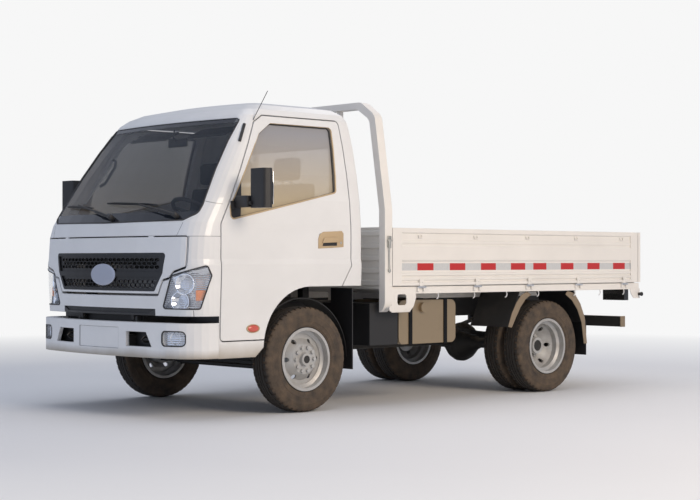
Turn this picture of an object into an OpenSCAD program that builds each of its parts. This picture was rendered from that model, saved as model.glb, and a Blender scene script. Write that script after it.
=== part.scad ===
// Light cab-over flatbed truck with drop sides, built of separate pieces.
// X points forward, Y to the driver's left, Z up. The origin is on the ground, below the middle.

/* [Overall] */
// Distance from the rear axle back to the tailgate's hinges
rear_overhang = 1170; // [1140:5:1200]
// Distance between the two axles
wheelbase = 2600; // [2500:10:2700]
// Distance from the bumper's face back to the front axle
front_overhang = 1140; // [1120:5:1170]

/* [Wheels] */
// Diameter of the tyres
tyre_diameter = 750; // [730:5:770]
// Width of one tyre
tyre_width = 185; // [175:1:195]
// Diameter over the rim flanges
rim_diameter = 450; // [430:5:460]
// Width of one rim over its flanges
rim_width = 162; // [150:1:166]
// Thickness of a wheel's disc
disc_wall = 9; // [6:1:14]
// Distance between the front tyres' middles
front_track = 1680; // [1660:5:1700]
// Distance between the middles of the twin rear tyres
rear_track = 1540; // [1520:5:1560]
// Distance between the middles of two twin tyres
twin_spacing = 215; // [205:1:225]
// Number of wheel nuts
nut_count = 10; // [6:1:12]
// Diameter of the circle of wheel nuts
nut_circle = 170; // [160:1:180]

/* [Cab] */
// Width of the cab at its crease
cab_width = 1910; // [1880:5:1930]
// Height of the roof's crown
roof_z = 2222; // [2200:2:2240]
// Height of the roof's edge
roof_edge_z = 2095; // [2080:1:2105]
// Height of the windscreen's foot
screen_z = 1332; // [1322:1:1342]
// Height of the door's side crease
crease_z = 1070; // [1055:1:1085]
// Height of the seam above the front lid
seam_z = 1240; // [1230:1:1250]
// Height of the cab's lower edge at the front
nose_z = 700; // [696:1:706]
// Height of the cab's lower edge behind the wheel
tail_z = 892; // [886:1:898]
// Height of the entry sill's lower edge
sill_z = 412; // [400:1:425]
// Cab's front skin ahead of the front axle
cab_nose_x = 1100; // [1094:1:1104]
// Cab's back wall behind the front axle
cab_back_x = 530; // [510:1:540]
// Thickness of the cab's walls
wall = 42; // [30:1:50]
// Thickness of a door
door_wall = 52; // [40:1:60]
// Depth of the outer skin that overlaps a door's frame
skin = 18; // [12:1:24]
// Width of the seam round a door or a lamp
seam = 8; // [7:0.5:9]
// Thickness of the window glass
glass = 5; // [4:0.5:8]
// Highest tilt of the cab's hinge above the ground
tilt_z = 675; // [673:1:678]

/* [Bed] */
// Width over the side boards
bed_width = 2060; // [2030:5:2080]
// Distance from the front axle back to the side boards' front ends
bed_gap = 745; // [735:5:765]
// Height of the deck's floor
deck_z = 905; // [895:1:915]
// Height of the side boards' tops
board_top_z = 1317; // [1290:1:1340]
// Height of the side boards' lower edges
board_foot_z = 888; // [886:1:892]
// Thickness of a side board
board_wall = 30; // [24:1:36]
// Height of the hoop's top behind the cab
hoop_z = 2255; // [2235:5:2275]

/* [Chassis] */
// Distance from the middle to a frame rail's outer face
rail_y = 380; // [370:1:390]
// Height of the frame rails' tops
rail_top_z = 770; // [762:1:778]
// Height of a frame rail
rail_height = 150; // [140:1:160]
// Width of a frame rail
rail_width = 60; // [50:1:65]

/* [Hidden] */
$fn = 48;

overall_length = front_overhang + wheelbase + rear_overhang;
front_x = overall_length / 2 - front_overhang;
rear_x = front_x - wheelbase;
axle_z = tyre_diameter / 2;
half = cab_width / 2;
// Small gap between seated pieces, and the play of a turning fit
seat_gap = 0.3;
play = 0.05;

// Cab sections from the sill up, each with its height, front set back, side set in,
// bow of the front, corner radius and rear set in
screen_rise = roof_edge_z - screen_z;
cab_sections = [
    [sill_z - 2, 22, 22, 70, 170, 0],
    [nose_z, 12, 14, 70, 175, 0],
    [900, 3, 5, 70, 178, 0],
    [crease_z - 22, 0, 0, 72, 180, 0],
    [crease_z + 14, 1, 8, 72, 180, 0],
    [seam_z, 4, 7, 80, 180, 0],
    [screen_z, 22, 9, 90, 180, 0],
    [screen_z + 0.22 * screen_rise, 132, 22, 88, 170, 0],
    [screen_z + 0.48 * screen_rise, 266, 54, 80, 155, 0],
    [screen_z + 0.74 * screen_rise, 414, 97, 72, 135, 0],
    [screen_z + 0.92 * screen_rise, 530, 135, 64, 120, 4],
    [roof_edge_z, 584, 156, 60, 110, 10],
    [roof_edge_z + 0.36 * (roof_z - roof_edge_z), 645, 190, 60, 110, 24],
    [roof_edge_z + 0.68 * (roof_z - roof_edge_z), 730, 265, 60, 100, 60],
    [roof_edge_z + 0.9 * (roof_z - roof_edge_z), 860, 405, 50, 100, 140],
    [roof_z, 1000, 605, 40, 100, 270],
];

function bow_points(nose, reach, bow, n) =
    [for (i = [-n:n]) [nose - bow * pow(i / n, 2), reach * i / n]];
function arc_points(cx, cy, r, a0, a1, n) =
    [for (i = [0:n]) let (a = a0 + (a1 - a0) * i / n) [cx + r * cos(a), cy + r * sin(a)]];
function cab_outline(s, t) =
    let (nose = cab_nose_x - s[1] - t, w = half - s[2] - t, r = max(s[4] - t, 20),
        corner = nose - s[3], back = -cab_back_x + s[5] + t, q = 40)
    concat(bow_points(nose, w - r, s[3], 4),
        arc_points(corner - r, w - r, r, 12, 90, 6),
        arc_points(back + q, w - q, q, 90, 180, 3),
        arc_points(back + q, q - w, q, 180, 270, 3),
        arc_points(corner - r, r - w, r, -90, -12, 6));
function cab_level(s, t) = s[0] - t * (s[0] - sill_z) / (roof_z - sill_z);

module cab_slice(s, t) {
    translate([0, 0, cab_level(s, t)]) linear_extrude(1) polygon(cab_outline(s, t));
}
module cab_form(t) {
    for (i = [0:len(cab_sections) - 2])
        hull() {
            cab_slice(cab_sections[i], t);
            cab_slice(cab_sections[i + 1], t);
        }
}
module cab_layer(t0, t1) {
    difference() {
        cab_form(t0);
        cab_form(t1);
    }
}

module block(x, y, z) {
    translate([x[0], y[0], z[0]]) cube([x[1] - x[0], y[1] - y[0], z[1] - z[0]]);
}
module both_sides() {
    children();
    mirror([0, 1, 0]) children();
}
module rod_y(x, z, y, d) {
    translate([x, y[0], z]) rotate([-90, 0, 0]) cylinder(d = d, h = y[1] - y[0]);
}
module rod_x(y, z, x, d) {
    translate([x[0], y, z]) rotate([0, 90, 0]) cylinder(d = d, h = x[1] - x[0]);
}
module rod_z(x, y, z, d) {
    translate([x, y, z[0]]) cylinder(d = d, h = z[1] - z[0]);
}
module side_prism(y) {
    translate([0, y[1], 0]) rotate([90, 0, 0]) linear_extrude(y[1] - y[0]) children();
}
module front_prism(x) {
    translate([x[0], 0, 0]) rotate([90, 0, 90]) linear_extrude(x[1] - x[0]) children();
}
module in_cab() {
    translate([front_x, 0, 0]) children();
}
module soft(r) {
    offset(r = r) offset(delta = -r) children();
}

// Cab openings, drawn as seen from the side or from the front
arch_r = 415;
arch_z = tail_z - arch_r;
door_front_x = 785;
door_back_x = -402;
door_foot_z = 532;
door_top_z = roof_edge_z - 5;
module arch_profile() {
    hull() {
        translate([-10, arch_z]) circle(r = arch_r);
        translate([-cab_back_x - 60, arch_z - 100]) square([200, arch_r + 100]);
    }
    polygon([[-cab_back_x - 60, arch_z], [405, arch_z], [487, sill_z - 10], [487, 0],
        [-cab_back_x - 60, 0]]);
}
module door_profile() {
    soft(28) polygon([[door_front_x, door_foot_z], [door_front_x, screen_z - 10],
        [395, door_top_z - 50], [310, door_top_z], [door_back_x, door_top_z],
        [door_back_x, 1035], [door_back_x + 100, tail_z - 20], [350, door_foot_z]]);
}
module window_profile() {
    soft(30) polygon([[703, screen_z + 16], [703, screen_z + 106], [372, door_top_z - 130],
        [250, door_top_z - 48], [-330, door_top_z - 48], [-284, 1560]]);
}
module screen_profile() {
    soft(40) polygon([[-862, screen_z + 60], [-780, screen_z + 14], [0, screen_z + 4],
        [780, screen_z + 14], [862, screen_z + 60], [862, screen_z + 120],
        [748, roof_edge_z - 24], [-748, roof_edge_z - 24], [-862, screen_z + 120]]);
}
module rear_window_profile() {
    soft(50) square([1240, 440], center = true);
}
lid_half = 845;
lid_foot_z = 850;
// Left half of the front lid's outline, from its top corner down
lid_side = [[lid_half, seam_z - 5], [lid_half, 1036], [740, 1006], [694, 962],
    [640, 950], [590, lid_foot_z]];
lid_hinge_y = 520;
module lid_outline() {
    soft(10) polygon(concat(lid_side,
        [for (i = [len(lid_side) - 1:-1:0]) [-lid_side[i][0], lid_side[i][1]]]));
}
grille_top_z = 1128;
grille_foot_z = 866;
module grille_profile() {
    soft(24) polygon([[-668, grille_top_z], [668, grille_top_z], [640, 990], [560, grille_foot_z],
        [-560, grille_foot_z], [-640, 990]]);
}
module intake_profile() {
    polygon([[-560, 744], [560, 744], [500, 716], [-500, 716]]);
}
// Head lamp outline, seen from 45 degrees outside the front corner
module lamp_profile() {
    soft(16) polygon([[-220, 972], [30, 1040], [56, 975], [-18, 752], [-286, 752]]);
}
module lamp_prism(grow) {
    rotate([0, 0, 45]) front_prism([1100, 1600]) offset(delta = grow) lamp_profile();
}

// Where the low floor in front steps up over the wheels and the engine, and the step wells
step_x = 430;
floor_z = rail_top_z + 10;
well_x = 450;
well_y = 610;
well_reach = half - 76;
module cab_floor() {
    intersection() {
        cab_form(1);
        union() {
            block([step_x, cab_nose_x], [-half, half], [floor_z, floor_z + wall]);
            block([-cab_back_x, step_x + wall], [-half, half], [tail_z, tail_z + wall]);
            block([step_x, step_x + wall], [-half, half], [floor_z, tail_z + wall]);
            both_sides() block([well_x, door_front_x + 14], [well_y, half],
                [sill_z - 2, floor_z + 1]);
        }
    }
}
module cab_shell() {
    color("white") in_cab() difference() {
        union() {
            cab_layer(0, wall);
            cab_floor();
        }
        side_prism([-half - 50, half + 50]) arch_profile();
        block([door_front_x + 14, cab_nose_x + 50], [-half - 50, half + 50], [0, nose_z]);
        block([-cab_back_x - 50, cab_nose_x], [-well_y, well_y], [0, nose_z]);
        block([-cab_back_x - 50, cab_nose_x], [-half - 50, half + 50], [0, sill_z]);
        both_sides() {
            block([well_x + wall, door_front_x - wall], [well_y + wall, well_reach],
                [sill_z + wall, floor_z + wall + 1]);
            difference() {
                side_prism([600, half + 50]) offset(delta = seam) door_profile();
                block([-cab_back_x, cab_nose_x], [0, well_reach], [0, screen_z]);
            }
        }
        front_prism([200, cab_nose_x + 50]) screen_profile();
        translate([0, 0, 1700]) front_prism([-cab_back_x - 50, -300]) rear_window_profile();
        front_prism([800, cab_nose_x + 50]) for (drop = [0, -seam])
            translate([0, drop]) offset(delta = seam) lid_outline();
        front_prism([900, cab_nose_x + 50]) intake_profile();
        both_sides() lamp_prism(3);
    }
}

module cab_hinges() {
    tilt_x = front_x + cab_nose_x - 55;
    color("dimgray") both_sides() difference() {
        union() {
            rod_y(tilt_x, tilt_z, [300, 330], 38);
            side_prism([300, 330]) polygon([[tilt_x - 19, tilt_z], [tilt_x + 19, tilt_z],
                [tilt_x + 24, nose_z - seat_gap], [tilt_x - 19, nose_z - seat_gap]]);
        }
        rod_y(tilt_x, tilt_z, [290, 340], 24 + 2 * play);
    }
}

module windscreen() {
    color("slategray") in_cab() intersection() {
        cab_layer(4, 4 + glass);
        front_prism([200, cab_nose_x + 50]) offset(delta = -0.5) screen_profile();
    }
}
module rear_window() {
    color("slategray") in_cab() intersection() {
        cab_layer(8, 8 + glass);
        translate([0, 0, 1700]) front_prism([-cab_back_x - 50, -300])
            offset(delta = -0.5) rear_window_profile();
    }
}
module headlamps() {
    color("gainsboro") in_cab() both_sides() intersection() {
        cab_layer(1, 70);
        lamp_prism(2.5);
    }
}
module lower_grille() {
    color("black") in_cab() intersection() {
        cab_layer(8, 20);
        front_prism([900, cab_nose_x + 50]) offset(delta = -0.5) intake_profile();
    }
}
module front_lid() {
    color("white") in_cab() intersection() {
        cab_layer(0, 10);
        front_prism([800, cab_nose_x + 50]) {
            difference() {
                lid_outline();
                grille_profile();
            }
            for (y = [-lid_hinge_y, lid_hinge_y]) translate([y - 25, seam_z - 30])
                square([50, 25 + seam - seat_gap]);
        }
    }
}
// Level plan of the front skin between two depths, for pieces set in the lid
module nose_plan(t0, t1) {
    reach = half - 180;
    polygon(concat(bow_points(cab_nose_x - 2 - t0, reach, 72, 6),
        [for (p = bow_points(cab_nose_x - 2 - t1, reach, 72, 6)) [p[0], -p[1]]]));
}
cell_width = 50;
cell_height = 33;
cell_wall = 5;
module cell() {
    w = (cell_width - cell_wall) / 2;
    h = (cell_height - cell_wall) / 2;
    polygon([[0, h], [w, h / 2], [w, -h / 2], [0, -h], [-w, -h / 2], [-w, h / 2]]);
}
bar_z = (grille_top_z + grille_foot_z) / 2 - 16;
// Rows of cells above and below the middle bar, each the height of its middle
cell_rows = [for (i = [-1, 1], k = [0:2]) bar_z + i * (50 + k * 0.75 * cell_height)];
module grille() {
    color("black") in_cab() {
        intersection() {
            translate([0, 0, grille_foot_z]) linear_extrude(grille_top_z - grille_foot_z)
                nose_plan(10, 20);
            front_prism([800, cab_nose_x + 50]) difference() {
                offset(delta = -0.5) grille_profile();
                for (r = [0:len(cell_rows) - 1], c = [-13:13]) {
                    y = (c + (r % 2) / 2) * cell_width;
                    if (abs(y) < 570 + 0.2 * (cell_rows[r] - bar_z)) translate([y, cell_rows[r]])
                        cell();
                }
            }
        }
        intersection() {
            translate([0, 0, grille_foot_z]) linear_extrude(grille_top_z - grille_foot_z)
                nose_plan(0, 12);
            front_prism([800, cab_nose_x + 50]) {
                difference() {
                    offset(delta = -0.5) grille_profile();
                    offset(delta = -22) grille_profile();
                }
                translate([-620, bar_z - 17]) square([1240, 34]);
            }
        }
    }
    color("silver") translate([front_x + cab_nose_x - 16, 0, 975]) rotate([0, 90, 0])
        linear_extrude(16) scale([0.85, 1]) circle(r = 78);
}

module handle_profile() {
    soft(18) polygon([[-250, 1165], [-95, 1165], [-95, 1270], [-215, 1258], [-240, 1230]]);
}
module door(side) {
    mirror([0, side < 0 ? 1 : 0, 0]) {
        difference() {
            union() {
                intersection() {
                    cab_layer(0, skin);
                    side_prism([600, half + 50]) difference() {
                        door_profile();
                        arch_profile();
                    }
                }
                intersection() {
                    cab_layer(skin - 3, door_wall);
                    side_prism([600, half + 50]) offset(delta = -22) difference() {
                        door_profile();
                        arch_profile();
                    }
                }
            }
            side_prism([600, half + 50]) window_profile();
            side_prism([half - 30, half + 50]) handle_profile();
        }
        for (z = [740, 1160])
            block([door_front_x - 35, door_front_x + seam - seat_gap],
                [half - 54, half - 34], [z, z + 70]);
    }
}
module door_left() {
    color("white") in_cab() door(1);
}
module door_right() {
    color("white") in_cab() door(-1);
}
module door_glass(side) {
    mirror([0, side < 0 ? 1 : 0, 0]) intersection() {
        cab_layer(20, 20 + glass);
        side_prism([600, half + 50]) offset(delta = -0.5) window_profile();
    }
}
module door_glass_left() {
    color("slategray") in_cab() door_glass(1);
}
module door_glass_right() {
    color("slategray") in_cab() door_glass(-1);
}
mirror_y = 1260;
module mirror_head() {
    translate([front_x, 0, 0]) {
        translate([0, 0, 1430]) linear_extrude(265) soft(30)
            polygon([[575, mirror_y - 200], [650, mirror_y - 180], [655, mirror_y - 30],
                [575, mirror_y]]);
        rod_y(655, 1462, [half - 5, mirror_y - 150], 24);
        block([640, 700], [half - 17.3, half], [1430, 1480]);
    }
}
module mirror_left() {
    color("black") mirror_head();
}
module mirror_right() {
    color("black") mirror([0, 1, 0]) mirror_head();
}
// Point a little outside the windscreen, at a height and a distance from the middle
function screen_point(y, z, out) =
    let (share = (z - screen_z) / (0.22 * screen_rise),
        nose = cab_nose_x - 22 - 110 * share, reach = half - 189 - 3 * share)
    [nose - 90 * pow(y / reach, 2) + 0.82 * out, y, z + 0.57 * out];
module rod_between(a, b, d) {
    v = b - a;
    translate(a) rotate([0, acos(v[2] / norm(v)), atan2(v[1], v[0])])
        cylinder(d = d, h = norm(v));
}
module wipers() {
    // Each wiper's pivot: distance from the middle, and its foot's place outside the skin
    color("black") in_cab() for (w = [[50, -3.6], [745, 3.3]]) {
        n = 5;
        foot_z = screen_z + 18;
        points = [for (i = [0:n]) screen_point(w[0] - i * 140, foot_z + i * 19, 12)];
        for (i = [0:n - 1]) {
            rod_between(points[i], points[i + 1], 9);
            translate(points[i + 1]) sphere(d = 9.2);
        }
        rod_between(screen_point(w[0], foot_z, w[1]), screen_point(w[0], foot_z, 20), 26);
    }
}
module antenna() {
    color("black") in_cab() translate([400, half - 142.6, roof_edge_z - 40])
        rotate([0, -32, 0]) cylinder(d = 5, h = 250, $fn = 16);
}
wheel_tilt = 35;
wheel_place = [560, 380, 1400];
module dashboard() {
    color("dimgray") in_cab() {
        side_prism([-820, 820]) polygon([[640, 1290], [700, 1325], [930, 1310], [930, 1120],
            [760, 1050], [690, 1080]]);
        translate(wheel_place) rotate([0, -wheel_tilt, 0])
            translate([0, 0, -200]) cylinder(r = 28, h = 200 - 12 - seat_gap);
        for (y = [-600, 600]) block([760, 820], [y - 30, y + 30], [floor_z + wall, 1080]);
    }
}
module seats() {
    base = tail_z + wall;
    color("dimgray") in_cab() for (s = [[130, 640], [-700, 20]]) {
        side_prism([s[0], s[1]]) soft(25)
            polygon([[330, base], [350, 1180], [-120, 1160], [-230, 1640], [-330, 1640],
                [-300, base]]);
    }
}
module steering_wheel() {
    color("black") in_cab() translate(wheel_place) rotate([0, -wheel_tilt, 0]) {
        rotate_extrude() translate([190, 0]) circle(r = 14);
        cylinder(r = 45, h = 24, center = true);
        for (a = [0, 120, 240]) rotate([0, 0, a + 180]) translate([30, -12, -6])
            cube([160, 24, 12]);
    }
}

// Wheels, each about its own axis along Y with the outer face toward +Y
module tyre_shape() {
    r = tyre_diameter / 2;
    f = rim_diameter / 2;
    w = tyre_width / 2;
    bead = rim_width / 2 - 9 - seat_gap;
    half_profile = [[f - 12, bead], [f + 3, bead], [f + 22, w - 8], [f + 50, w], [r - 62, w],
        [r - 34, w - 6], [r - 14, w - 18], [r - 3, w - 38]];
    n = len(half_profile);
    rotate([-90, 0, 0]) rotate_extrude($fn = 96) polygon(concat(half_profile, [[r, 0]],
        [for (i = [n - 1:-1:0]) [half_profile[i][0], -half_profile[i][1]]]));
}
module rim_profile() {
    f = rim_diameter / 2;
    b = f - 12;
    w = rim_width / 2;
    polygon([[b - 8, -w], [f, -w], [f, -w + 5], [b - seat_gap, -w + 9], [b - seat_gap, -30],
        [b - 24, -18], [b - 24, 18], [b - seat_gap, 30], [b - seat_gap, w - 9], [f, w - 5],
        [f, w], [b - 8, w], [b - 8, 34], [b - 32, 22], [b - 32, -22], [b - 8, -34]]);
}
module wheel_nuts(y0, y1) {
    for (i = [0:nut_count - 1]) rotate([0, i * 360 / nut_count, 0])
        translate([nut_circle / 2, y0, 0]) rotate([-90, 0, 0])
            cylinder(r = 15, h = y1 - y0, $fn = 6);
}
module front_rim_shape() {
    b = rim_diameter / 2 - 36;
    rotate([-90, 0, 0]) rotate_extrude($fn = 72) rim_profile();
    difference() {
        union() {
            rotate([-90, 0, 0]) rotate_extrude($fn = 72)
                polygon([[28 + play, 60], [105, 60], [118, 48], [150, 16], [b + 3, 14],
                    [b + 3, 14 - disc_wall], [146, 16 - disc_wall], [110, 44 - disc_wall],
                    [104, 60 - disc_wall - 3], [104, -66], [28 + play, -66]]);
            wheel_nuts(58, 76);
            rotate([-90, 0, 0]) rotate_extrude($fn = 48)
                polygon([[28 + play, 58], [48, 58], [44, 86], [28 + play, 86]]);
        }
        for (i = [0:5]) rotate([0, i * 60, 0]) translate([142, 0, 0]) rotate([-90, 0, 0])
            cylinder(r = 17, h = 90, center = true);
    }
}
module rear_rims_shape() {
    s = twin_spacing / 2;
    b = rim_diameter / 2 - 36;
    for (y = [-s, s]) translate([0, y, 0]) rotate([-90, 0, 0])
        rotate_extrude($fn = 72) rim_profile();
    difference() {
        union() {
            rotate([-90, 0, 0]) rotate_extrude($fn = 72)
                polygon([[45 + play, disc_wall], [110, disc_wall], [150, 50], [b + 3, s - 10],
                    [b + 3, s - 10 - disc_wall - 4], [154, 36], [116, 0], [154, -36],
                    [b + 3, 14 + disc_wall - s], [b + 3, 10 - s], [150, -50], [110, -disc_wall],
                    [110, -90], [45 + play, -90]]);
            wheel_nuts(disc_wall - 1, disc_wall + 22);
            rotate([-90, 0, 0]) rotate_extrude($fn = 48)
                polygon([[45 + play, 5], [72, 5], [66, 82], [45 + play, 82]]);
        }
        for (i = [0:5]) rotate([0, i * 60, 0]) translate([150, 0, 0]) rotate([-90, 0, 0])
            cylinder(r = 17, h = 2 * s, center = true);
    }
}
module tyre_front_left() {
    color("dimgray") translate([front_x, front_track / 2, axle_z]) tyre_shape();
}
module tyre_front_right() {
    color("dimgray") translate([front_x, -front_track / 2, axle_z]) tyre_shape();
}
module rim_front_left() {
    color("silver") translate([front_x, front_track / 2, axle_z]) front_rim_shape();
}
module rim_front_right() {
    color("silver") mirror([0, 1, 0]) translate([front_x, front_track / 2, axle_z])
        front_rim_shape();
}
module twin_tyres(side) {
    for (y = [-twin_spacing / 2, twin_spacing / 2])
        translate([rear_x, side * rear_track / 2 + y, axle_z]) tyre_shape();
}
module tyres_rear_left() {
    color("dimgray") twin_tyres(1);
}
module tyres_rear_right() {
    color("dimgray") twin_tyres(-1);
}
module rims_rear_left() {
    color("silver") translate([rear_x, rear_track / 2, axle_z]) rear_rims_shape();
}
module rims_rear_right() {
    color("silver") mirror([0, 1, 0]) translate([rear_x, rear_track / 2, axle_z])
        rear_rims_shape();
}

// Front axle and steering
king_y = front_track / 2 - 120;
king_r = 16;
beam_end = king_y - 160;
arm_x = -150;
arm_z = -70;
module front_axle() {
    color("dimgray") translate([front_x, 0, axle_z]) difference() {
        union() {
            side_prism([-beam_end, beam_end]) polygon([[-35, -85], [35, -85], [35, -70], [12, -62],
                [12, -38], [35, -30], [35, -15], [-35, -15], [-35, -30], [-12, -38],
                [-12, -62], [-35, -70]]);
            both_sides() front_prism([-30, 30]) polygon([[beam_end - 20, -85], [beam_end, -85],
                [king_y - 80, -50], [king_y - 40, -44], [king_y, -44], [king_y, 44],
                [king_y - 80, 44], [beam_end + 40, -15], [beam_end - 20, -15]]);
            both_sides() rod_z(0, king_y, [-44, 44], 76);
        }
        both_sides() rod_z(0, king_y, [-60, 60], 2 * (king_r + play));
    }
}
module knuckle() {
    translate([0, king_y, 0]) {
        rod_z(0, 0, [-84, 84], 2 * king_r);
        for (z = [[-84, -44 - seat_gap], [44 + seat_gap, 84]]) {
            rod_z(0, 0, z, 70);
            block([-35, 35], [0, 54], z);
        }
        block([-35, 35], [44, 54], [-84, 84]);
        rod_y(0, 0, [50, front_track / 2 - king_y + 84], 56);
        block([arm_x, 0], [-18, 18], [arm_z - 14, arm_z]);
        rod_z(arm_x, 0, [arm_z - 14, arm_z], 50);
        rod_z(arm_x, 0, [arm_z - 44, arm_z], 18);
    }
}
module knuckle_left() {
    color("dimgray") translate([front_x, 0, axle_z]) knuckle();
}
module knuckle_right() {
    color("dimgray") translate([front_x, 0, axle_z]) mirror([0, 1, 0]) knuckle();
}
module tie_rod() {
    z = [arm_z - 44, arm_z - 14 - seat_gap];
    color("gray") translate([front_x + arm_x, 0, axle_z]) {
        difference() {
            union() {
                rod_y(0, (z[0] + z[1]) / 2, [25 - king_y, king_y - 25], 26);
                both_sides() rod_z(0, king_y, z, 52);
            }
            both_sides() rod_z(0, king_y, [z[0] - 5, z[1] + 5], 18 + 2 * play);
        }
    }
}
module rear_axle() {
    y1 = rear_track / 2 + 80;
    color("dimgray") translate([rear_x, 0, axle_z]) {
        rotate([-90, 0, 0]) rotate_extrude() polygon([[0, -y1], [45, -y1], [45, -220],
            [70, -160], [148, -60], [165, -20], [165, 20], [148, 60], [70, 160], [45, 220],
            [45, y1], [0, y1]]);
        rod_x(0, 20, [100, 230], 90);
    }
}
module propshaft() {
    color("dimgray") rod_x(0, axle_z + 20, [rear_x + 230 + seat_gap, front_x - 1000], 76);
}
// Hole for a tow coupling's bolts in the rear cross-member
tow_bolt = 17;
spring_y = rail_y - rail_width / 2;
leaf = 9;
// Stack of curved leaves, the longest on top, seen from the side
module spring_pack(length, sag, leaves) {
    n = 8;
    side_prism([-30, 30]) for (i = [0:leaves - 1]) {
        share = 1 - 0.15 * i;
        top = [for (k = [-n:n]) [length / 2 * share * k / n,
            sag * pow(share * k / n, 2) - i * leaf]];
        polygon(concat(top, [for (k = [2 * n:-1:0]) top[k] - [0, leaf + 0.01]]));
    }
}
module front_springs() {
    color("dimgray") both_sides() translate([front_x, spring_y, axle_z - 15 + 4 * leaf])
        spring_pack(1050, 110, 4);
}
module rear_springs() {
    color("dimgray") both_sides() translate([rear_x, spring_y, axle_z + 45 + 6 * leaf])
        spring_pack(1100, 90, 6);
}
module ladder_frame() {
    rear_end = -overall_length / 2 + 110;
    front_end = front_x + front_overhang - 120;
    z = [rail_top_z - rail_height, rail_top_z];
    color("dimgray") {
        both_sides() block([rear_end, front_end], [rail_y - rail_width, rail_y], z);
        difference() {
            for (x = [rear_end, (rear_end + rear_x) / 2 + 60, rear_x + 420, front_x - 1050,
                    front_end - 60])
                block([x, x + 60], [rail_width - rail_y - 1, rail_y - rail_width + 1],
                    [z[0] + 30, z[1] - 20]);
            for (y = [-80, 80], h = [-28, 28])
                rod_x(y, (z[0] + z[1]) / 2 + 5 + h, [rear_end - 5, rear_end + 65], tow_bolt);
        }
        both_sides() {
            tilt_x = front_x + cab_nose_x - 55;
            block([tilt_x - 90, tilt_x + 15], [340, 365], [z[0] + 20, tilt_z + 16]);
            rod_y(tilt_x, tilt_z, [296, 362], 24);
        }
        both_sides() block([front_x - 500, front_x - 440], [rail_y - rail_width, rail_y],
            [rail_top_z - 10, tail_z - seat_gap]);
        // Bumper brackets, from the front cross-member into the bumper's channel
        both_sides() {
            block([front_end - 60, front_end - 10], [262, 318], [455, z[0] + 40]);
            block([front_end - 60, front_x + front_overhang - 40], [262, 318], [455, 565]);
        }
        // Spring hangers, each with its axle, reach along the axle's springs and spring height
        for (s = [[front_x, 525, axle_z - 15 + 4 * leaf + 110],
                [rear_x, 550, axle_z + 45 + 6 * leaf + 90]])
            both_sides() for (e = [-1, 1])
                block([s[0] + e * s[1] - 35, s[0] + e * s[1] + 35],
                    [rail_y - rail_width, rail_y], [s[2] + seat_gap, z[0] + 1]);
    }
}
module engine_block() {
    color("gray") {
        block([front_x - 430, front_x + 310], [-250, 250], [470, 865]);
        block([front_x - 1000 + seat_gap, front_x - 400], [-150, 150], [axle_z + 20 - 150, 600]);
        block([front_x - 60, front_x + 60], [rail_width + seat_gap - rail_y,
            rail_y - rail_width - seat_gap], [650, 710]);
    }
}
module radiator() {
    color("dimgray") {
        block([front_x + 335, front_x + 395], [-270, 270], [480, 865]);
        block([front_x + 340, front_x + 390], [rail_width + seat_gap - rail_y,
            rail_y - rail_width - seat_gap], [650, 700]);
    }
}
module fuel_tank() {
    color("tan") {
        translate([front_x - 1240, rail_y + 30, 0]) {
            side_prism([0, 500]) soft(50) translate([-310, 445]) square([620, 330]);
            for (x = [-210, 170]) intersection() {
                side_prism([-1, 507]) offset(delta = 6) soft(50) translate([-310, 445])
                    square([620, 330]);
                block([x, x + 34], [-10, 520], [400, 800]);
            }
            rod_y(60, 720, [490, 530], 74);
        }
        for (x = [-1440, -1060])
            block([front_x + x, front_x + x + 50], [rail_y + seat_gap, rail_y + 31], [640, 700]);
    }
}
module battery_box() {
    color("black") {
        block([front_x - 900, front_x - 610], [rail_y + 30, 930], [450, 760]);
        for (x = [-860, -700])
            block([front_x + x, front_x + x + 50], [rail_y + seat_gap, rail_y + 31], [640, 700]);
    }
}
module bumper_plan(t) {
    w = half - 4;
    nose = front_overhang - t;
    back = front_overhang - 332 - (t > 0 ? 10 : 0);
    polygon(concat([[back, -w + t]],
        arc_points(nose - 70 - 230, 230 - w + t, 230, -90, -14, 6),
        bow_points(nose, w - t - 230, 60, 4),
        arc_points(nose - 70 - 230, w - t - 230, 230, 14, 90, 6),
        [[back, w - t]]));
}
module front_bumper() {
    color("white") translate([front_x, 0, 416]) difference() {
        linear_extrude(239) bumper_plan(0);
        translate([0, 0, 14]) linear_extrude(211) bumper_plan(26);
        translate([0, 0, -1]) linear_extrude(300) bumper_plan(60);
        both_sides() front_prism([1000, 1200])
            polygon([[325, 74], [325, 174], [530, 174], [585, 74]]);
        intersection() {
            translate([0, 0, 54]) linear_extrude(146) difference() {
                bumper_plan(-20);
                bumper_plan(4);
            }
            block([1000, 1200], [-240, 240], [0, 300]);
        }
        both_sides() front_prism([900, 1200]) translate([770, 134]) fog_profile();
    }
}
module fog_profile() {
    soft(30) square([180, 100], center = true);
}
module fog_lamps() {
    color("gainsboro") both_sides() translate([front_x, 0, 416]) intersection() {
        difference() {
            linear_extrude(239) bumper_plan(3);
            translate([0, 0, -1]) linear_extrude(241) bumper_plan(24);
        }
        front_prism([900, 1200]) translate([770, 134]) offset(delta = -seat_gap) fog_profile();
    }
}
module front_mudguards() {
    color("black") both_sides() translate([front_x, 0, axle_z]) {
        side_prism([660, 870]) intersection() {
            difference() {
                circle(r = 436);
                circle(r = 430);
            }
            polygon([[0, 0], [500, 350], [500, 600], [-500, 600], [-500, 0]]);
        }
        block([-443, -434], [700, 930], [-90, 500]);
        for (x = [-300, 300]) rod_y(x, 312, [rail_y + seat_gap, 670], 24);
    }
}
module rear_mudguards() {
    y = [rear_track / 2 - 190, bed_width / 2 - 40];
    top = rail_foot_z - seat_gap - axle_z;
    color("black") both_sides() translate([rear_x, 0, axle_z]) side_prism(y)
        polygon([[526, 170], [388, top], [-296, top], [-463, 183], [-463, -90], [-457, -90],
            [-457, 181], [-292, top - 6], [384, top - 6], [520, 170]]);
}
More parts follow.
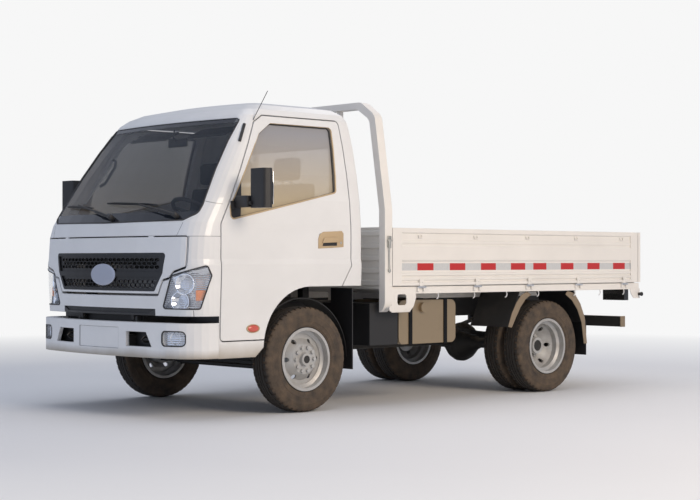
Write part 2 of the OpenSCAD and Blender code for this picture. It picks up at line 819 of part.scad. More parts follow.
module underrun_bar() {
    x = -overall_length / 2 + 60;
    color("black") {
        block([x, x + 60], [-900, 900], [500, 590]);
        both_sides() side_prism([rail_y - rail_width, rail_y]) polygon([[x, 520],
            [x + 60, 500], [x + 190, rail_top_z - rail_height - seat_gap],
            [x + 60, rail_top_z - rail_height - seat_gap], [x, 590]]);
    }
}
module tail_lamps() {
    x = -overall_length / 2 + 50;
    color("darkred") both_sides() block([x, x + 60], [700, 930], [730, rail_foot_z - seat_gap]);
}
// Ends of the load floor. The board hinges' axis lies hinge_out outside a board's face
hinge_r = 7;
hinge_out = 5;
hinge_z = board_foot_z - 12;
bed_front_x = front_x - bed_gap;
bed_back_x = -overall_length / 2 + hinge_r + hinge_out + board_wall;
board_gap = 8;
rail_foot_z = 828;
// Deck rail's outer face inside the boards' faces
rail_inset = 10;
module bed_deck() {
    y = bed_width / 2;
    rail_z = [rail_foot_z, board_foot_z - board_gap];
    color("white") {
        block([bed_back_x + board_gap, bed_front_x - seat_gap],
            [board_gap + board_wall - y, y - board_wall - board_gap], [deck_z - 35, deck_z]);
        both_sides() block([bed_back_x + board_gap, bed_front_x - 6], [y - 70, y - rail_inset],
            rail_z);
        block([bed_back_x - board_wall + 10, bed_back_x + 60], [10 - y, y - 10], rail_z);
        for (x = beam_places) block([x, x + 50], [-y + 60, y - 60], [rail_foot_z + 2, deck_z - 30]);
        both_sides() block([bed_back_x + 50, bed_front_x - 6], [rail_y - rail_width, rail_y],
            [rail_top_z + seat_gap, deck_z - 30]);
        for (side = [0, 1], x = side_hinges) mirror([0, side, 0]) translate([x, y, 0])
            hinge_frame();
        for (y = gate_hinges) translate([bed_back_x - board_wall, y, 0]) rotate([0, 0, 90])
            hinge_frame();
    }
}
// Board hinges: along X for the side boards, along Y for the tailgate
hinge_inset = [305, 198];
side_hinges = [for (i = [0:4]) bed_front_x - hinge_inset[0]
    - i / 4 * (bed_front_x - bed_back_x - hinge_inset[0] - hinge_inset[1])];
beam_places = [for (i = [0:7]) bed_back_x + 150 + i / 7 * (bed_front_x - bed_back_x - 323)];
gate_hinges = [-800, -270, 270, 800];
hinge_half = 20;
hinge_pin = 8;
module hinge_frame() {
    for (side = [-1, 1]) {
        x = [side > 0 ? hinge_half + 0.4 : -42, side > 0 ? 42 : -hinge_half - 0.4];
        rod_x(hinge_out, hinge_z, x, 2 * hinge_r);
        block(x, [-12, hinge_out], [hinge_z - 30, hinge_z]);
    }
    rod_x(hinge_out, hinge_z, [-40, 40], hinge_pin);
}
module hinge_leaf() {
    x = [-hinge_half, hinge_half];
    difference() {
        union() {
            rod_x(hinge_out, hinge_z, x, 2 * hinge_r);
            block(x, [-1, hinge_out - 1], [hinge_z, hinge_z + 60]);
            block(x, [hinge_out - hinge_r, hinge_out], [hinge_z, board_foot_z + 4]);
        }
        rod_x(hinge_out, hinge_z, [-30, 30], hinge_pin + 2 * play);
    }
}
// Bulkhead and hoop behind the cab
post_width = 62;
bulkhead_wall = 26;
peg_x = 37;
peg_z = 722;
module headboard() {
    y = bed_width / 2;
    x = [bed_front_x, bed_front_x + 75];
    color("white") {
        front_prism(x) difference() {
            soft(90) polygon([[-y, 690], [-y, 1450], [-y + 110, 2150], [-y + 260, hoop_z],
                [y - 260, hoop_z], [y - 110, 2150], [y, 1450], [y, 690]]);
            soft(70) polygon([[post_width - y, 600], [post_width - y, 1450],
                [post_width + 106 - y, 2120], [post_width + 238 - y, hoop_z - 50],
                [y - post_width - 238, hoop_z - 50], [y - post_width - 106, 2120],
                [y - post_width, 1450], [y - post_width, 600]]);
            square([2 * (y - post_width), 2 * 860], center = true);
        }
        front_prism([x[0] + 20, x[0] + 50]) for (s = [-520, 480])
            translate([s, 1310]) square([40, hoop_z - 1340]);
        side_prism([post_width - y - 1, y - post_width + 1]) bulkhead_profile();
        both_sides() {
            difference() {
                side_prism([y - rail_inset + seat_gap, y - 4]) translate([bed_front_x, 0])
                    polygon([[-245, 868], [-255, 800], [-228, 735], [-185, 692], [1, 692],
                        [1, 868]]);
                side_prism([y - 20, y]) translate([bed_front_x - 105, 785]) soft(22)
                    square([95, 80], center = true);
            }
            rod_y(bed_front_x + peg_x, peg_z, [y - 40, y + 30], 28);
            rod_y(bed_front_x + peg_x, peg_z, [y + 22, y + 30], 44);
        }
    }
}
// Bulkhead seen from the side, with pressed ribs toward the cab
module bulkhead_profile() {
    ribs = 5;
    z0 = 862;
    pitch = (1322 - z0) / ribs;
    x = bed_front_x + bulkhead_wall;
    polygon(concat([[bed_front_x, z0]],
        [for (i = [0:ribs - 1], p = [[0, 0], [22, 0], [32, 14], [60, 14], [70, 0]])
            [x + p[1], z0 + i * pitch + p[0]]],
        [[x, 1322], [bed_front_x, 1322]]));
}
// Pressed ribs of a board, seen from its end: height above its foot and depth of the outer face
board_end = 95;
board_ribs = [[0, 0], [20, 0], [27, 12], [36, 12], [42, 3], [55, 3], [61, 12], [70, 12], [76, 3],
    [90, 3], [98, 13], [176, 13], [192, 1], [288, 1], [302, 12], [312, 12], [318, 6], [334, 6],
    [340, 13], [388, 13], [396, 0]];
module board_profile(depth) {
    rise = board_top_z - board_foot_z;
    polygon(concat([for (p = board_ribs) [-p[1] * depth, board_foot_z + p[0]]],
        [[0, board_top_z], [-board_wall, board_top_z], [-board_wall, board_top_z - 18],
        [-22, board_top_z - 26], [-22, board_foot_z + 26], [-board_wall, board_foot_z + 18],
        [-board_wall, board_foot_z]]));
}
// One board along X from x[0] to x[1], its outer face on the plane y = 0
module board(x) {
    front_prism([x[0] + board_end - 1, x[1] - board_end + 1]) board_profile(1);
    for (e = [[x[0], x[0] + board_end], [x[1] - board_end, x[1]]])
        block(e, [-board_wall, 0], [board_foot_z, board_top_z]);
}
module side_board() {
    translate([0, bed_width / 2, 0]) board([bed_back_x + board_gap, bed_front_x - 6]);
    for (x = side_hinges) translate([x, bed_width / 2, 0]) hinge_leaf();
}
module side_board_left() {
    color("white") side_board();
}
module side_board_right() {
    color("white") mirror([0, 1, 0]) side_board();
}
module tailgate() {
    color("white") {
        translate([bed_back_x - board_wall, 0, 0]) rotate([0, 0, 90])
            board([-bed_width / 2, bed_width / 2]);
        for (y = gate_hinges) translate([bed_back_x - board_wall, y, 0]) rotate([0, 0, 90])
            hinge_leaf();
    }
}

ladder_frame();
front_axle();
rear_axle();
propshaft();
front_springs();
rear_springs();
engine_block();
radiator();
fuel_tank();
battery_box();
front_bumper();
fog_lamps();
front_mudguards();
rear_mudguards();
underrun_bar();
tail_lamps();
bed_deck();
headboard();
cab_shell();
cab_hinges();
windscreen();
rear_window();
wipers();
dashboard();
seats();
headlamps();
lower_grille();
antenna();
front_lid();
grille();
door_left();
door_right();
door_glass_left();
door_glass_right();
mirror_left();
mirror_right();
steering_wheel();
knuckle_left();
knuckle_right();
tie_rod();
tyre_front_left();
tyre_front_right();
rim_front_left();
rim_front_right();
tyres_rear_left();
tyres_rear_right();
rims_rear_left();
rims_rear_right();
side_board_left();
side_board_right();
tailgate();
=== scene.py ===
"""Flatbed truck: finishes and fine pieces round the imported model."""
import math

import bpy
from mathutils import Matrix, Vector


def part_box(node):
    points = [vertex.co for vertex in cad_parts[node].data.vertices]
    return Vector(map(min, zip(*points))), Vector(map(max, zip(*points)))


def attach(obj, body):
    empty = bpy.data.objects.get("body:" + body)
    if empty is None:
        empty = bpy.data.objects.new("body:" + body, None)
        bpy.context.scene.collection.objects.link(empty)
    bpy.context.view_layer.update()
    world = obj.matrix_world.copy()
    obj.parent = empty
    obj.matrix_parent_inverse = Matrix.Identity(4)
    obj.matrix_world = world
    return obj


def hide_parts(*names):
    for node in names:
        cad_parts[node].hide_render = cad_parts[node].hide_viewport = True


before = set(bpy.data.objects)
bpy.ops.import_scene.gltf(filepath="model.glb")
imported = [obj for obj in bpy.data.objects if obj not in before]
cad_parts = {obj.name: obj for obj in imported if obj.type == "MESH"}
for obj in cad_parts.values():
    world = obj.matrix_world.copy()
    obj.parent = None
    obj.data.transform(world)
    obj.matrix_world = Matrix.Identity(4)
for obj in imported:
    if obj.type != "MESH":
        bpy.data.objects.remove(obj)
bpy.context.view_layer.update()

bl_info = {
    "name": "Flatbed truck",
    "version": (1, 0, 0),
    "blender": (4, 5, 0),
    "location": "View3D > Sidebar > Truck",
    "description": "Adds finishes, tyres, lamps, trim and fittings to the packed flatbed truck",
    "category": "Object",
}


def middle_and_width(node):
    """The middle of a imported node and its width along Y, to a tenth of a millimetre."""
    low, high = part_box(node)
    return [round((a + b) / 2, 4) for a, b in zip(low, high)], round(high[1] - low[1], 4)


# Lengths are in metres: X runs forward, Y to the truck's left and Z up
(FRONT_AXLE_X, FRONT_WHEEL_Y, AXLE_Z), TYRE_WIDTH = middle_and_width("tyre_front_left")
(REAR_AXLE_X, REAR_WHEEL_Y, _), TWINS_WIDTH = middle_and_width("tyres_rear_left")
TWIN_SHIFT = (TWINS_WIDTH - TYRE_WIDTH) / 2
BED_FRONT_X = 0.570
BED_BACK_X = -2.413
BOARD_Y = 1.030
SIDES = (("left", 1), ("right", -1))
FINISHES = {}

# Colours that several finishes share
# near-black for painted shade in gaps, hollows and undersides, and the real colour of the tank's
# straps
SHADE_AND_STRAP_BLACK = (0.006, 0.006, 0.007)
SEAM_GREY = (0.16, 0.16, 0.17)
ROAD_DIRT = (0.30, 0.25, 0.19)
CAB_DUST = (0.42, 0.38, 0.32)


def maths(operation, swapped=False):
    """A method that adds a Math node, its two values swapped for a reflected form."""
    def method(self, other=0.0):
        values = {0: other, 1: self} if swapped else {0: self, 1: other}
        return self.wiring.node("ShaderNodeMath", {"operation": operation}, values)
    return method


class Signal:
    """A socket of a node tree that takes part in sums."""
    __add__, __radd__ = maths("ADD"), maths("ADD", True)
    __sub__, __rsub__ = maths("SUBTRACT"), maths("SUBTRACT", True)
    __mul__, __rmul__ = maths("MULTIPLY"), maths("MULTIPLY", True)
    __mod__, __abs__ = maths("FLOORED_MODULO"), maths("ABSOLUTE")
    __lt__, __gt__ = maths("LESS_THAN"), maths("GREATER_THAN")
    root, maximum = maths("SQRT"), maths("MAXIMUM")

    def __init__(self, wiring, socket):
        self.wiring = wiring
        self.socket = socket

    def near(self, middle, reach):
        """1 where the value lies within reach of a middle."""
        return abs(self - middle) < reach


class Wiring:
    """A node tree whose nodes all come from node()."""

    def __init__(self, tree):
        self.tree = tree

    def node(self, kind, settings={}, inputs={}, output=0):
        """Add a node, its settings first, then the values or links of its sockets."""
        made = self.tree.nodes.new(kind)
        for key, value in settings.items():
            setattr(made, key, value)
        for key, value in inputs.items():
            self.wire(made.inputs[key], value)
        return Signal(self, made.outputs[output])

    def wire(self, socket, value):
        """Link a signal to a socket, or set the socket's own value."""
        if isinstance(value, Signal):
            self.tree.links.new(value.socket, socket)
        elif isinstance(value, tuple) and len(value) == 3 and len(socket.default_value) == 4:
            socket.default_value = (*value, 1.0)
        else:
            socket.default_value = value


class Finish(Wiring):
    """A material on Object coordinates, with the few recipes that the truck uses."""

    def __init__(self, name, **values):
        material = bpy.data.materials.new(name)
        material.use_nodes = True
        super().__init__(material.node_tree)
        self.shader = self.tree.nodes["Principled BSDF"]
        self.place = self.node("ShaderNodeTexCoord", output="Object")
        self.x, self.y, self.z = self.split(self.place)
        self.ahead, _, self.up = self.split(self.node("ShaderNodeTexCoord", output="Normal"))
        self.set(**values)
        FINISHES[name] = material

    def split(self, vector):
        """The X, Y and Z of a vector."""
        outputs = self.node("ShaderNodeSeparateXYZ", {}, {0: vector}).socket.node.outputs
        return [Signal(self, output) for output in outputs]

    def set(self, **values):
        """Set or link the shader's sockets, named in lower case."""
        for key, value in values.items():
            self.wire(self.shader.inputs[key.replace("_", " ").title()], value)
        return self

    def noise(self, scale, detail=3.0, stretch=(1, 1, 1)):
        """Soft patches, drawn out along an axis where its stretch is small."""
        where = self.node("ShaderNodeMapping", {}, {"Vector": self.place, "Scale": stretch})
        return self.node("ShaderNodeTexNoise", {}, {
            "Vector": where, "Scale": scale, "Detail": detail}, "Fac")

    def waves(self, direction, scale, distortion=0.0):
        """Ribs that follow one another along a direction."""
        return self.node("ShaderNodeTexWave", {"bands_direction": direction}, {
            "Vector": self.place, "Scale": scale, "Distortion": distortion}, "Fac")

    def cells(self, scale):
        """Small round cells, as in a prism lens or a weave."""
        return self.node("ShaderNodeTexVoronoi", {}, {
            "Vector": self.place, "Scale": scale}, "Distance")

    def ramp(self, value, low, high):
        """0 below low, 1 above high, straight between."""
        return self.node("ShaderNodeMapRange", {"clamp": True}, {
            "Value": value, "From Min": low, "From Max": high})

    def either(self, *masks):
        """1 where any of the masks is 1."""
        return self.ramp(sum(masks[1:], masks[0]), 0.0, 1.0)

    def mix(self, mask, a, b):
        return self.node("ShaderNodeMix", {"data_type": "RGBA"}, {0: mask, 6: a, 7: b}, 2)

    def cover(self, mask, colour):
        """Another colour over the present one where the mask is 1."""
        under = Signal(self, self.shader.inputs["Base Color"].links[0].from_socket)
        return self.set(base_color=self.mix(mask, under, colour))

    def bump(self, height, depth, strength, round_edge=0.0):
        """Fine relief, over edges that look rounded by a radius where one is given."""
        inputs = {"Strength": strength, "Distance": depth, "Height": height}
        if round_edge:
            inputs["Normal"] = self.node("ShaderNodeBevel", {"samples": 6}, {"Radius": round_edge})
        return self.set(normal=self.node("ShaderNodeBump", inputs=inputs))


def paint(name, colour, dirt, dirt_top, coat=0.4, rough=0.32, soft=0.012):
    """Sprayed paint, with fine orange peel, dust low down and faint streaks."""
    f = Finish(name, coat_weight=coat, coat_roughness=0.12)
    cloud = f.noise(3.0, 6.0)
    streak = f.noise(6.0, 5.0, (1, 1, 0.12))
    low = 1 - f.ramp(f.z, 0.42, dirt_top)
    dust = f.ramp(low * 0.9 + cloud * 0.5 + streak * 0.25, 0.62, 1.25)
    tone = f.mix(f.ramp(cloud, 0.3, 0.75), colour, tuple(c * 0.93 for c in colour))
    f.set(base_color=f.mix(dust, tone, dirt), roughness=dust * 0.45 + rough)
    return f.bump(f.noise(420.0, 2.0), 0.0004, 0.15, soft)


def bumper_paint(colour):
    """Cab paint, with the number plate's field outlined and painted shade on the inner faces."""
    f = paint("bumper paint", colour, CAB_DUST, 0.50)
    field_z, half_height, half_width, line = 0.543, 0.0735, 0.2405, 0.002
    wide = abs(f.y)
    field = f.z.near(field_z, half_height) * (wide < half_width) * (f.x > 2.35)
    inner = f.z.near(field_z, half_height - line) * (wide < half_width - line)
    f.cover(field * (1 - inner), SEAM_GREY)
    # painted shade: faces that look back and the top faces behind the bumper's front are painted
    # black
    f.cover(f.either(f.ahead < -0.5, (f.up > 0.5) * (f.x < 2.335)), SHADE_AND_STRAP_BLACK)


def shell_paint(colour):
    """Cab paint, with painted shade on the underside, in the gap behind the bumper and in the
    intake, and the pressed seams drawn.
    """
    f = paint("shell paint", colour, CAB_DUST, 0.56)
    wide = abs(f.y)
    # painted shade: the underside, the sill's face behind the bumper and the shell inside the intake
    # are painted black
    underside = (f.up < -0.6) * (f.z < 1.0)
    bumper_gap = (f.ahead > 0.5) * (f.z < 0.6995) * (f.x > 2.0)
    intake = (f.x > 2.3) * (f.z < 0.747) * (wide < 0.562)
    f.cover(f.either(underside, bumper_gap, intake), SHADE_AND_STRAP_BLACK)
    half = 0.0016
    front = f.x > 2.2
    belt = f.z.near(1.2385, half) * (wide > 0.850) * (f.x > 2.07)
    lid_side = wide.near(0.8585, half) * f.z.near(1.138, 0.100) * front
    lamp_foot = wide.near(0.8855, half) * (f.z < 0.742) * front
    cowl = (wide + (1.333 - f.z) * 0.30).near(0.787, 0.0018) * f.z.near(1.286, 0.047) * front
    pillar_foot = ((f.z + (wide - 0.880) * 0.28).near(1.473, half) * (wide > 0.86)
                   * (f.x > 2.08) * (f.z > 1.40))
    f.cover(f.either(belt, lid_side, lamp_foot, cowl, pillar_foot), SEAM_GREY)


def bed_paint(colour):
    """Bed paint, with reflective tape in the boards' recess, a bare floor and bright hinges."""
    f = paint("bed paint", colour, (0.40, 0.35, 0.28), 0.80, 0.25, 0.4, 0.004)
    wide = abs(f.y)
    tape = f.z.near(1.028, 0.027) * (wide > 1.012) * f.x.near(-0.9205, 1.3895)
    # the red patches come in two runs that meet at a joint of the tape
    joint_x = -0.98
    front_run = (0.294 - f.x) % 0.3525 < 0.174
    back_run = (-1.036 - f.x) % 0.3470 < 0.164
    red = f.either(front_run * (f.x > joint_x), back_run * (f.x < joint_x))
    silver = f.mix(f.noise(90.0, 2.0), (0.62, 0.63, 0.63), (0.52, 0.53, 0.53))
    f.cover(tape, f.mix(red, silver, (0.50, 0.018, 0.018)))
    floor = (f.up > 0.6) * f.z.near(0.905, 0.004) * (wide < 1.0)
    rust = f.ramp(f.noise(4.0, 6.0), 0.40, 0.65)
    f.cover(floor, f.mix(rust, (0.34, 0.32, 0.29), (0.20, 0.17, 0.13)))
    barrels = f.z.near(0.876, 0.008) * (wide > 1.0285) * (f.x < 0.56)
    f.cover(barrels, (0.62, 0.64, 0.67)).set(metallic=barrels * 0.9)


def dusty(name, colour, dirt, amount, rough, grain, depth, metallic=0.0):
    """A plain hard surface with dust on its upper sides and in patches."""
    f = Finish(name, metallic=metallic)
    cloud = f.noise(7.0, 6.0)
    settle = f.ramp(f.up, 0.1, 0.9) * 0.5
    dust = f.ramp(settle + cloud * (0.6 + amount), 0.55, 1.3)
    f.set(base_color=f.mix(dust, colour, dirt), roughness=dust * 0.3 + rough)
    return f.bump(f.noise(grain, 3.0), depth, 0.4)


DUSTY_FINISHES = (
    # name, colour, dust, amount of dust, roughness, scale and depth of the grain, metallic
    ("frame black", (0.022, 0.021, 0.020), ROAD_DIRT, 0.25, 0.55, 260.0, 0.001),
    ("black plastic", (0.018, 0.018, 0.019), (0.10, 0.09, 0.08), 0.1, 0.45, 600.0, 0.0006),
    ("grille black", (0.010, 0.010, 0.011), (0.05, 0.05, 0.05), 0.1, 0.35, 500.0, 0.0004),
    ("engine metal", (0.16, 0.16, 0.155), ROAD_DIRT, 0.4, 0.5, 120.0, 0.001, 0.5),
    ("zinc", (0.50, 0.50, 0.47), (0.33, 0.29, 0.23), 0.25, 0.4, 300.0, 0.0005, 0.8),
    ("cabin plastic", (0.075, 0.074, 0.072), (0.14, 0.13, 0.12), 0.1, 0.6, 900.0, 0.0005),
    ("trim beige", (0.50, 0.37, 0.22), (0.40, 0.30, 0.19), 0.1, 0.4, 300.0, 0.0004),
    ("dusty lip", (0.24, 0.185, 0.125), (0.34, 0.26, 0.18), 0.3, 0.6, 300.0, 0.0004),
)


def tank_silver():
    """Dusty sheet metal with the two dark bands of the tank's straps."""
    f = dusty("tank silver", (0.36, 0.28, 0.185), (0.24, 0.19, 0.13), 0.3, 0.34, 200.0,
              0.0006, 0.6)
    half = 0.018
    f.cover(f.either(f.x.near(-0.118, half), f.x.near(0.262, half)), SHADE_AND_STRAP_BLACK)


def wheel_silver():
    """Painted steel rims with patches of road dust."""
    f = Finish("wheel silver", metallic=0.35)
    dust = f.ramp(f.noise(9.0, 6.0), 0.42, 0.8) * 0.55
    f.set(base_color=f.mix(dust, (0.50, 0.50, 0.49), (0.25, 0.21, 0.17)),
          roughness=dust * 0.4 + 0.38)
    f.bump(f.noise(350.0, 2.0), 0.0004, 0.3)


def tyre_rubber():
    """Dusty rubber, browner on the sidewall than on the tread, where a tan ring is dust and a
    painted highlight.
    """
    f = Finish("tyre rubber")
    fine = f.noise(160.0, 3.0)
    dust = f.ramp(f.noise(14.0, 5.0) * 0.8 + fine * 0.3, 0.30, 0.85)
    # the distance from the middle of the wheel that a point belongs to
    along = f.x - ((f.x > 0.0) * (FRONT_AXLE_X - REAR_AXLE_X) + REAR_AXLE_X)
    above = f.z - AXLE_Z
    far = (along * along + above * above).root()
    # a tan ring on the sidewall: partly dust, partly a painted highlight
    wall = f.ramp(far, 0.21, AXLE_Z).near(0.55, 0.42)
    dust_and_highlight_brown = f.mix(wall, (0.045, 0.038, 0.032), (0.15, 0.105, 0.068))
    f.set(base_color=f.mix(dust, (0.026, 0.023, 0.021), dust_and_highlight_brown), roughness=dust * 0.12 + 0.78)
    f.bump(fine, 0.0008, 0.5)


def glass_finishes():
    """Clear panes, door panes with a painted reflection of the evening sky, and a windscreen with a
    dark edge.
    """
    Finish("window glass", base_color=(0.012, 0.017, 0.018), roughness=0.04, alpha=0.18,
           coat_weight=0.6)
    Finish("mirror glass", base_color=(0.75, 0.77, 0.78), roughness=0.03, metallic=1.0)
    f = Finish("door glass", roughness=0.05, coat_weight=0.5, alpha=0.62)
    # painted reflection of the evening sky: warm low on the door panes, grey higher up
    f.set(base_color=f.mix(f.ramp(f.z, 1.42, 1.98), (0.66, 0.54, 0.34), (0.44, 0.44, 0.46)))
    f = Finish("screen glass", roughness=0.04, coat_weight=0.6)
    blur = 0.006
    bottom = f.ramp(1.410 - f.z, 0.0, blur)
    side = f.ramp(abs(f.y) + f.z * 0.165 - 1.110, 0.0, blur)
    top = f.ramp(f.z, 2.035, 2.035 + blur)
    edge = f.either(bottom, side, top)
    f.set(base_color=f.mix(edge, (0.020, 0.028, 0.042), (0.014, 0.017, 0.024)),
          alpha=edge * 0.68 + 0.32)


def lamp_finishes():
    """Bright bowls and linings, and clear and coloured lenses."""
    Finish("lamp lens", base_color=(0.85, 0.88, 0.92), roughness=0.03, alpha=0.10, coat_weight=1.0)
    Finish("lamp bowl", base_color=(0.90, 0.92, 0.95), roughness=0.07, metallic=1.0)
    f = Finish("lamp lining", base_color=(0.66, 0.69, 0.74), roughness=0.16, metallic=0.9)
    f.bump(f.waves("Z", 22.0, 1.5), 0.004, 0.6)
    f = Finish("reflector", base_color=(0.82, 0.83, 0.84), roughness=0.12, metallic=1.0)
    f.bump(f.waves("X", 28.0), 0.001, 0.25)
    f = Finish("repeater lens", roughness=0.2, coat_weight=0.6)
    pips = f.cells(110.0)
    f.set(base_color=f.mix(pips, (0.72, 0.10, 0.06), (0.50, 0.10, 0.08)))
    f.bump(pips, 0.001, 0.4)
    f = Finish("amber lens", roughness=0.15, coat_weight=0.7)
    ribs = f.waves("Z", 45.0)
    f.set(base_color=f.mix(ribs, (0.75, 0.16, 0.012), (0.95, 0.30, 0.03)))
    f.bump(ribs, 0.001, 0.4)


def tail_lens():
    """Red outside, amber beside it and clear inside, in a dark case."""
    f = Finish("tail lens", roughness=0.14, coat_weight=0.7)
    clear_end, amber_end = 0.775, 0.850
    across = abs(f.y)
    amber = (across > clear_end) * (across < amber_end)
    lens = f.mix(amber, (0.45, 0.012, 0.012), (0.80, 0.22, 0.02))
    f.set(base_color=f.mix(across < clear_end, lens, (0.62, 0.62, 0.60)))
    f.cover(f.ahead > -0.5, (0.012, 0.012, 0.012))
    f.bump(f.waves("Z", 40.0), 0.001, 0.5)


def small_finishes():
    """Seat cloth, bare number plates and the grille's blank disc."""
    f = Finish("seat cloth", roughness=0.9)
    f.set(base_color=f.mix(f.noise(30.0), (0.060, 0.062, 0.066), (0.095, 0.095, 0.098)))
    f.bump(f.cells(320.0), 0.0012, 0.5)
    f = Finish("bare plate", roughness=0.4)
    f.set(base_color=f.mix(f.noise(5.0), (0.72, 0.73, 0.73), (0.64, 0.65, 0.65)))
    Finish("emblem blank", base_color=(0.42, 0.45, 0.53), roughness=0.35, metallic=0.3)


NODE_FINISH = {
    "cab paint": ("front_lid", "door_left", "door_right"),
    "shell paint": ("cab_shell",),
    "bumper paint": ("front_bumper",),
    "bed paint": ("bed_deck", "headboard", "side_board_left", "side_board_right", "tailgate"),
    "frame black": ("ladder_frame", "front_axle", "rear_axle", "propshaft", "front_springs",
                    "rear_springs", "underrun_bar", "cab_hinges", "knuckle_left",
                    "knuckle_right", "tie_rod"),
    "black plastic": ("battery_box", "front_mudguards", "rear_mudguards", "wipers", "antenna",
                      "mirror_left", "mirror_right", "lower_grille"),
    "grille black": ("grille",),
    "tank silver": ("fuel_tank",),
    "engine metal": ("engine_block", "radiator"),
    "window glass": ("rear_window",),
    "door glass": ("door_glass_left", "door_glass_right"),
    "screen glass": ("windscreen",),
    "lamp lens": ("headlamps",),
    "reflector": ("fog_lamps",),
    "tail lens": ("tail_lamps",),
    "cabin plastic": ("dashboard", "steering_wheel"),
    "seat cloth": ("seats",),
    "tyre rubber": ("tyre_front_left", "tyre_front_right", "tyres_rear_left",
                    "tyres_rear_right"),
    "wheel silver": ("rim_front_left", "rim_front_right", "rims_rear_left",
                     "rims_rear_right"),
}
# The record's material slot for each finish that a new piece has
SLOT_OF = {
    "bed paint": "bed_paint", "frame black": "chassis_black", "tyre rubber": "tyre_rubber",
    "black plastic": "black_plastic", "cabin plastic": "interior_grey",
    "seat cloth": "seat_fabric", "trim beige": "tank_silver", "dusty lip": "tank_silver",
    **dict.fromkeys(("zinc", "mirror glass", "bare plate", "emblem blank"), "steel_grey"),
    **dict.fromkeys(("lamp lens", "lamp lining", "lamp bowl", "reflector", "amber lens",
                     "repeater lens"), "lamp_clear"),
}


def free_hands():
    """Nothing selected."""
    bpy.ops.object.select_all(action="DESELECT")


def take(obj):
    """Only this object selected."""
    free_hands()
    bpy.context.view_layer.objects.active = obj
    obj.select_set(True)
    return obj


class Chosen:
    """Edit mode with the vertices, edges or polygons selected that pass the test."""

    def __init__(self, obj, part="vertices", test=lambda item: True):
        take(obj)
        kinds = ("vertices", "edges", "polygons")
        bpy.context.tool_settings.mesh_select_mode = [part == kind for kind in kinds]
        for kind in kinds:
            for item in getattr(obj.data, kind):
                item.select = kind == part and test(item)

    def __enter__(self):
        bpy.ops.object.mode_set(mode="EDIT")

    def __exit__(self, *problem):
        bpy.ops.object.mode_set(mode="OBJECT")


def add(kind, **where):
    """A primitive at its size and place, its place in its mesh."""
    free_hands()
    getattr(bpy.ops.mesh, f"primitive_{kind}_add")(**where)
    bpy.ops.object.transform_apply(location=True, rotation=True, scale=True)
    return bpy.context.object


def apply(obj, kind, **settings):
    """A modifier added and applied."""
    take(obj)
    made = obj.modifiers.new(kind.lower(), kind)
    for key, value in settings.items():
        setattr(made, key, value)
    bpy.ops.object.modifier_apply(modifier=made.name)
    return obj


def soften(obj, width, segments=2, angle=40):
    """Edges sharper than an angle made round."""
    return apply(obj, "BEVEL", width=width, segments=segments, limit_method="ANGLE",
                 angle_limit=math.radians(angle))


def thicken(obj, wall, side):
    """A skin given a wall: inside it at -1, outside at 1, on both sides at 0."""
    return apply(obj, "SOLIDIFY", thickness=wall, offset=side)


def brick(low, high, round_edge, segments=2):
    """A cube between two corners with its edges rounded."""
    size = [h - l for l, h in zip(low, high)]
    middle = [(h + l) / 2 for l, h in zip(low, high)]
    return soften(add("cube", size=1, location=middle, scale=size), round_edge, segments)


def bar(a, b, radius, vertices=16):
    """A round bar from a to b, its ends beveled."""
    a, b = Vector(a), Vector(b)
    turn = (b - a).to_track_quat("Z", "Y").to_euler()
    obj = add("cylinder", vertices=vertices, radius=radius, depth=(b - a).length,
              location=(a + b) / 2, rotation=turn)
    return soften(obj, radius * 0.2, 2, 60)


def trace(points):
    """A chain of edges through points, drawn by extruding one vertex."""
    obj = add("plane", size=0.01, location=points[0])
    with Chosen(obj):
        bpy.ops.mesh.merge(type="CENTER")
        for a, b in zip(points, points[1:]):
            bpy.ops.mesh.extrude_region_move(TRANSFORM_OT_translate={
                "value": Vector(b) - Vector(a)})
    return obj


def plate(points, push, round_edge, segments=2):
    """A flat outline pushed out to a thickness."""
    obj = trace(points)
    with Chosen(obj):
        bpy.ops.mesh.edge_face_add()
    with Chosen(obj, "polygons"):
        bpy.ops.mesh.extrude_region_move(TRANSFORM_OT_translate={"value": push})
        bpy.ops.mesh.select_all(action="SELECT")
        bpy.ops.mesh.normals_make_consistent(inside=False)
    return soften(obj, round_edge, segments)


def side_plate(outline, y, thickness, round_edge, segments=2):
    """A plate that faces sideways, from an outline of (x, z) points."""
    return plate([(x, y, z) for x, z in outline], (0, thickness, 0), round_edge, segments)


def lathe(profile, centre, steps, axis=(0, 1, 0)):
    """A profile of (radius, along) points, radius drawn toward +X or +Z, spun round an axis."""
    centre, axis = Vector(centre), Vector(axis)
    out = Vector((1, 0, 0)) if abs(axis.x) < 0.5 else Vector((0, 0, 1))
    obj = trace([centre + out * r + axis * t for r, t in profile])
    with Chosen(obj):
        bpy.ops.mesh.spin(steps=steps, angle=2 * math.pi, center=centre, axis=axis)
        bpy.ops.mesh.select_all(action="SELECT")
        bpy.ops.mesh.remove_doubles(threshold=0.00005)
        bpy.ops.mesh.normals_make_consistent(inside=False)
    return obj


def swell(obj, radius, detail=2):
    """A chain of edges made a round tube."""
    take(obj)
    bpy.ops.object.convert(target="CURVE")
    obj = bpy.context.object
    obj.data.bevel_depth = radius
    obj.data.bevel_resolution = detail
    obj.data.use_fill_caps = True
    bpy.ops.object.convert(target="MESH")
    return bpy.context.object


def tube(points, radius):
    """A round tube that follows points."""
    return swell(trace(points), radius)


def skin_of(node, facing, least=0.35):
    """The faces of a CAD node that look one way, as a piece of their own."""
    obj = copy_of(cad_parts[node])
    with Chosen(obj):
        bpy.ops.mesh.remove_doubles(threshold=0.00002)
    way = Vector(facing).normalized()
    with Chosen(obj, "polygons", lambda face: face.normal.dot(way) < least):
        bpy.ops.mesh.delete(type="FACE")
    return obj


def edge_key(mesh, ends):
    """An edge's middle and length, which stay when its number changes."""
    a, b = (mesh.vertices[i].co for i in ends)
    return tuple(round(c, 5) for c in (*((a + b) / 2), (a - b).length))


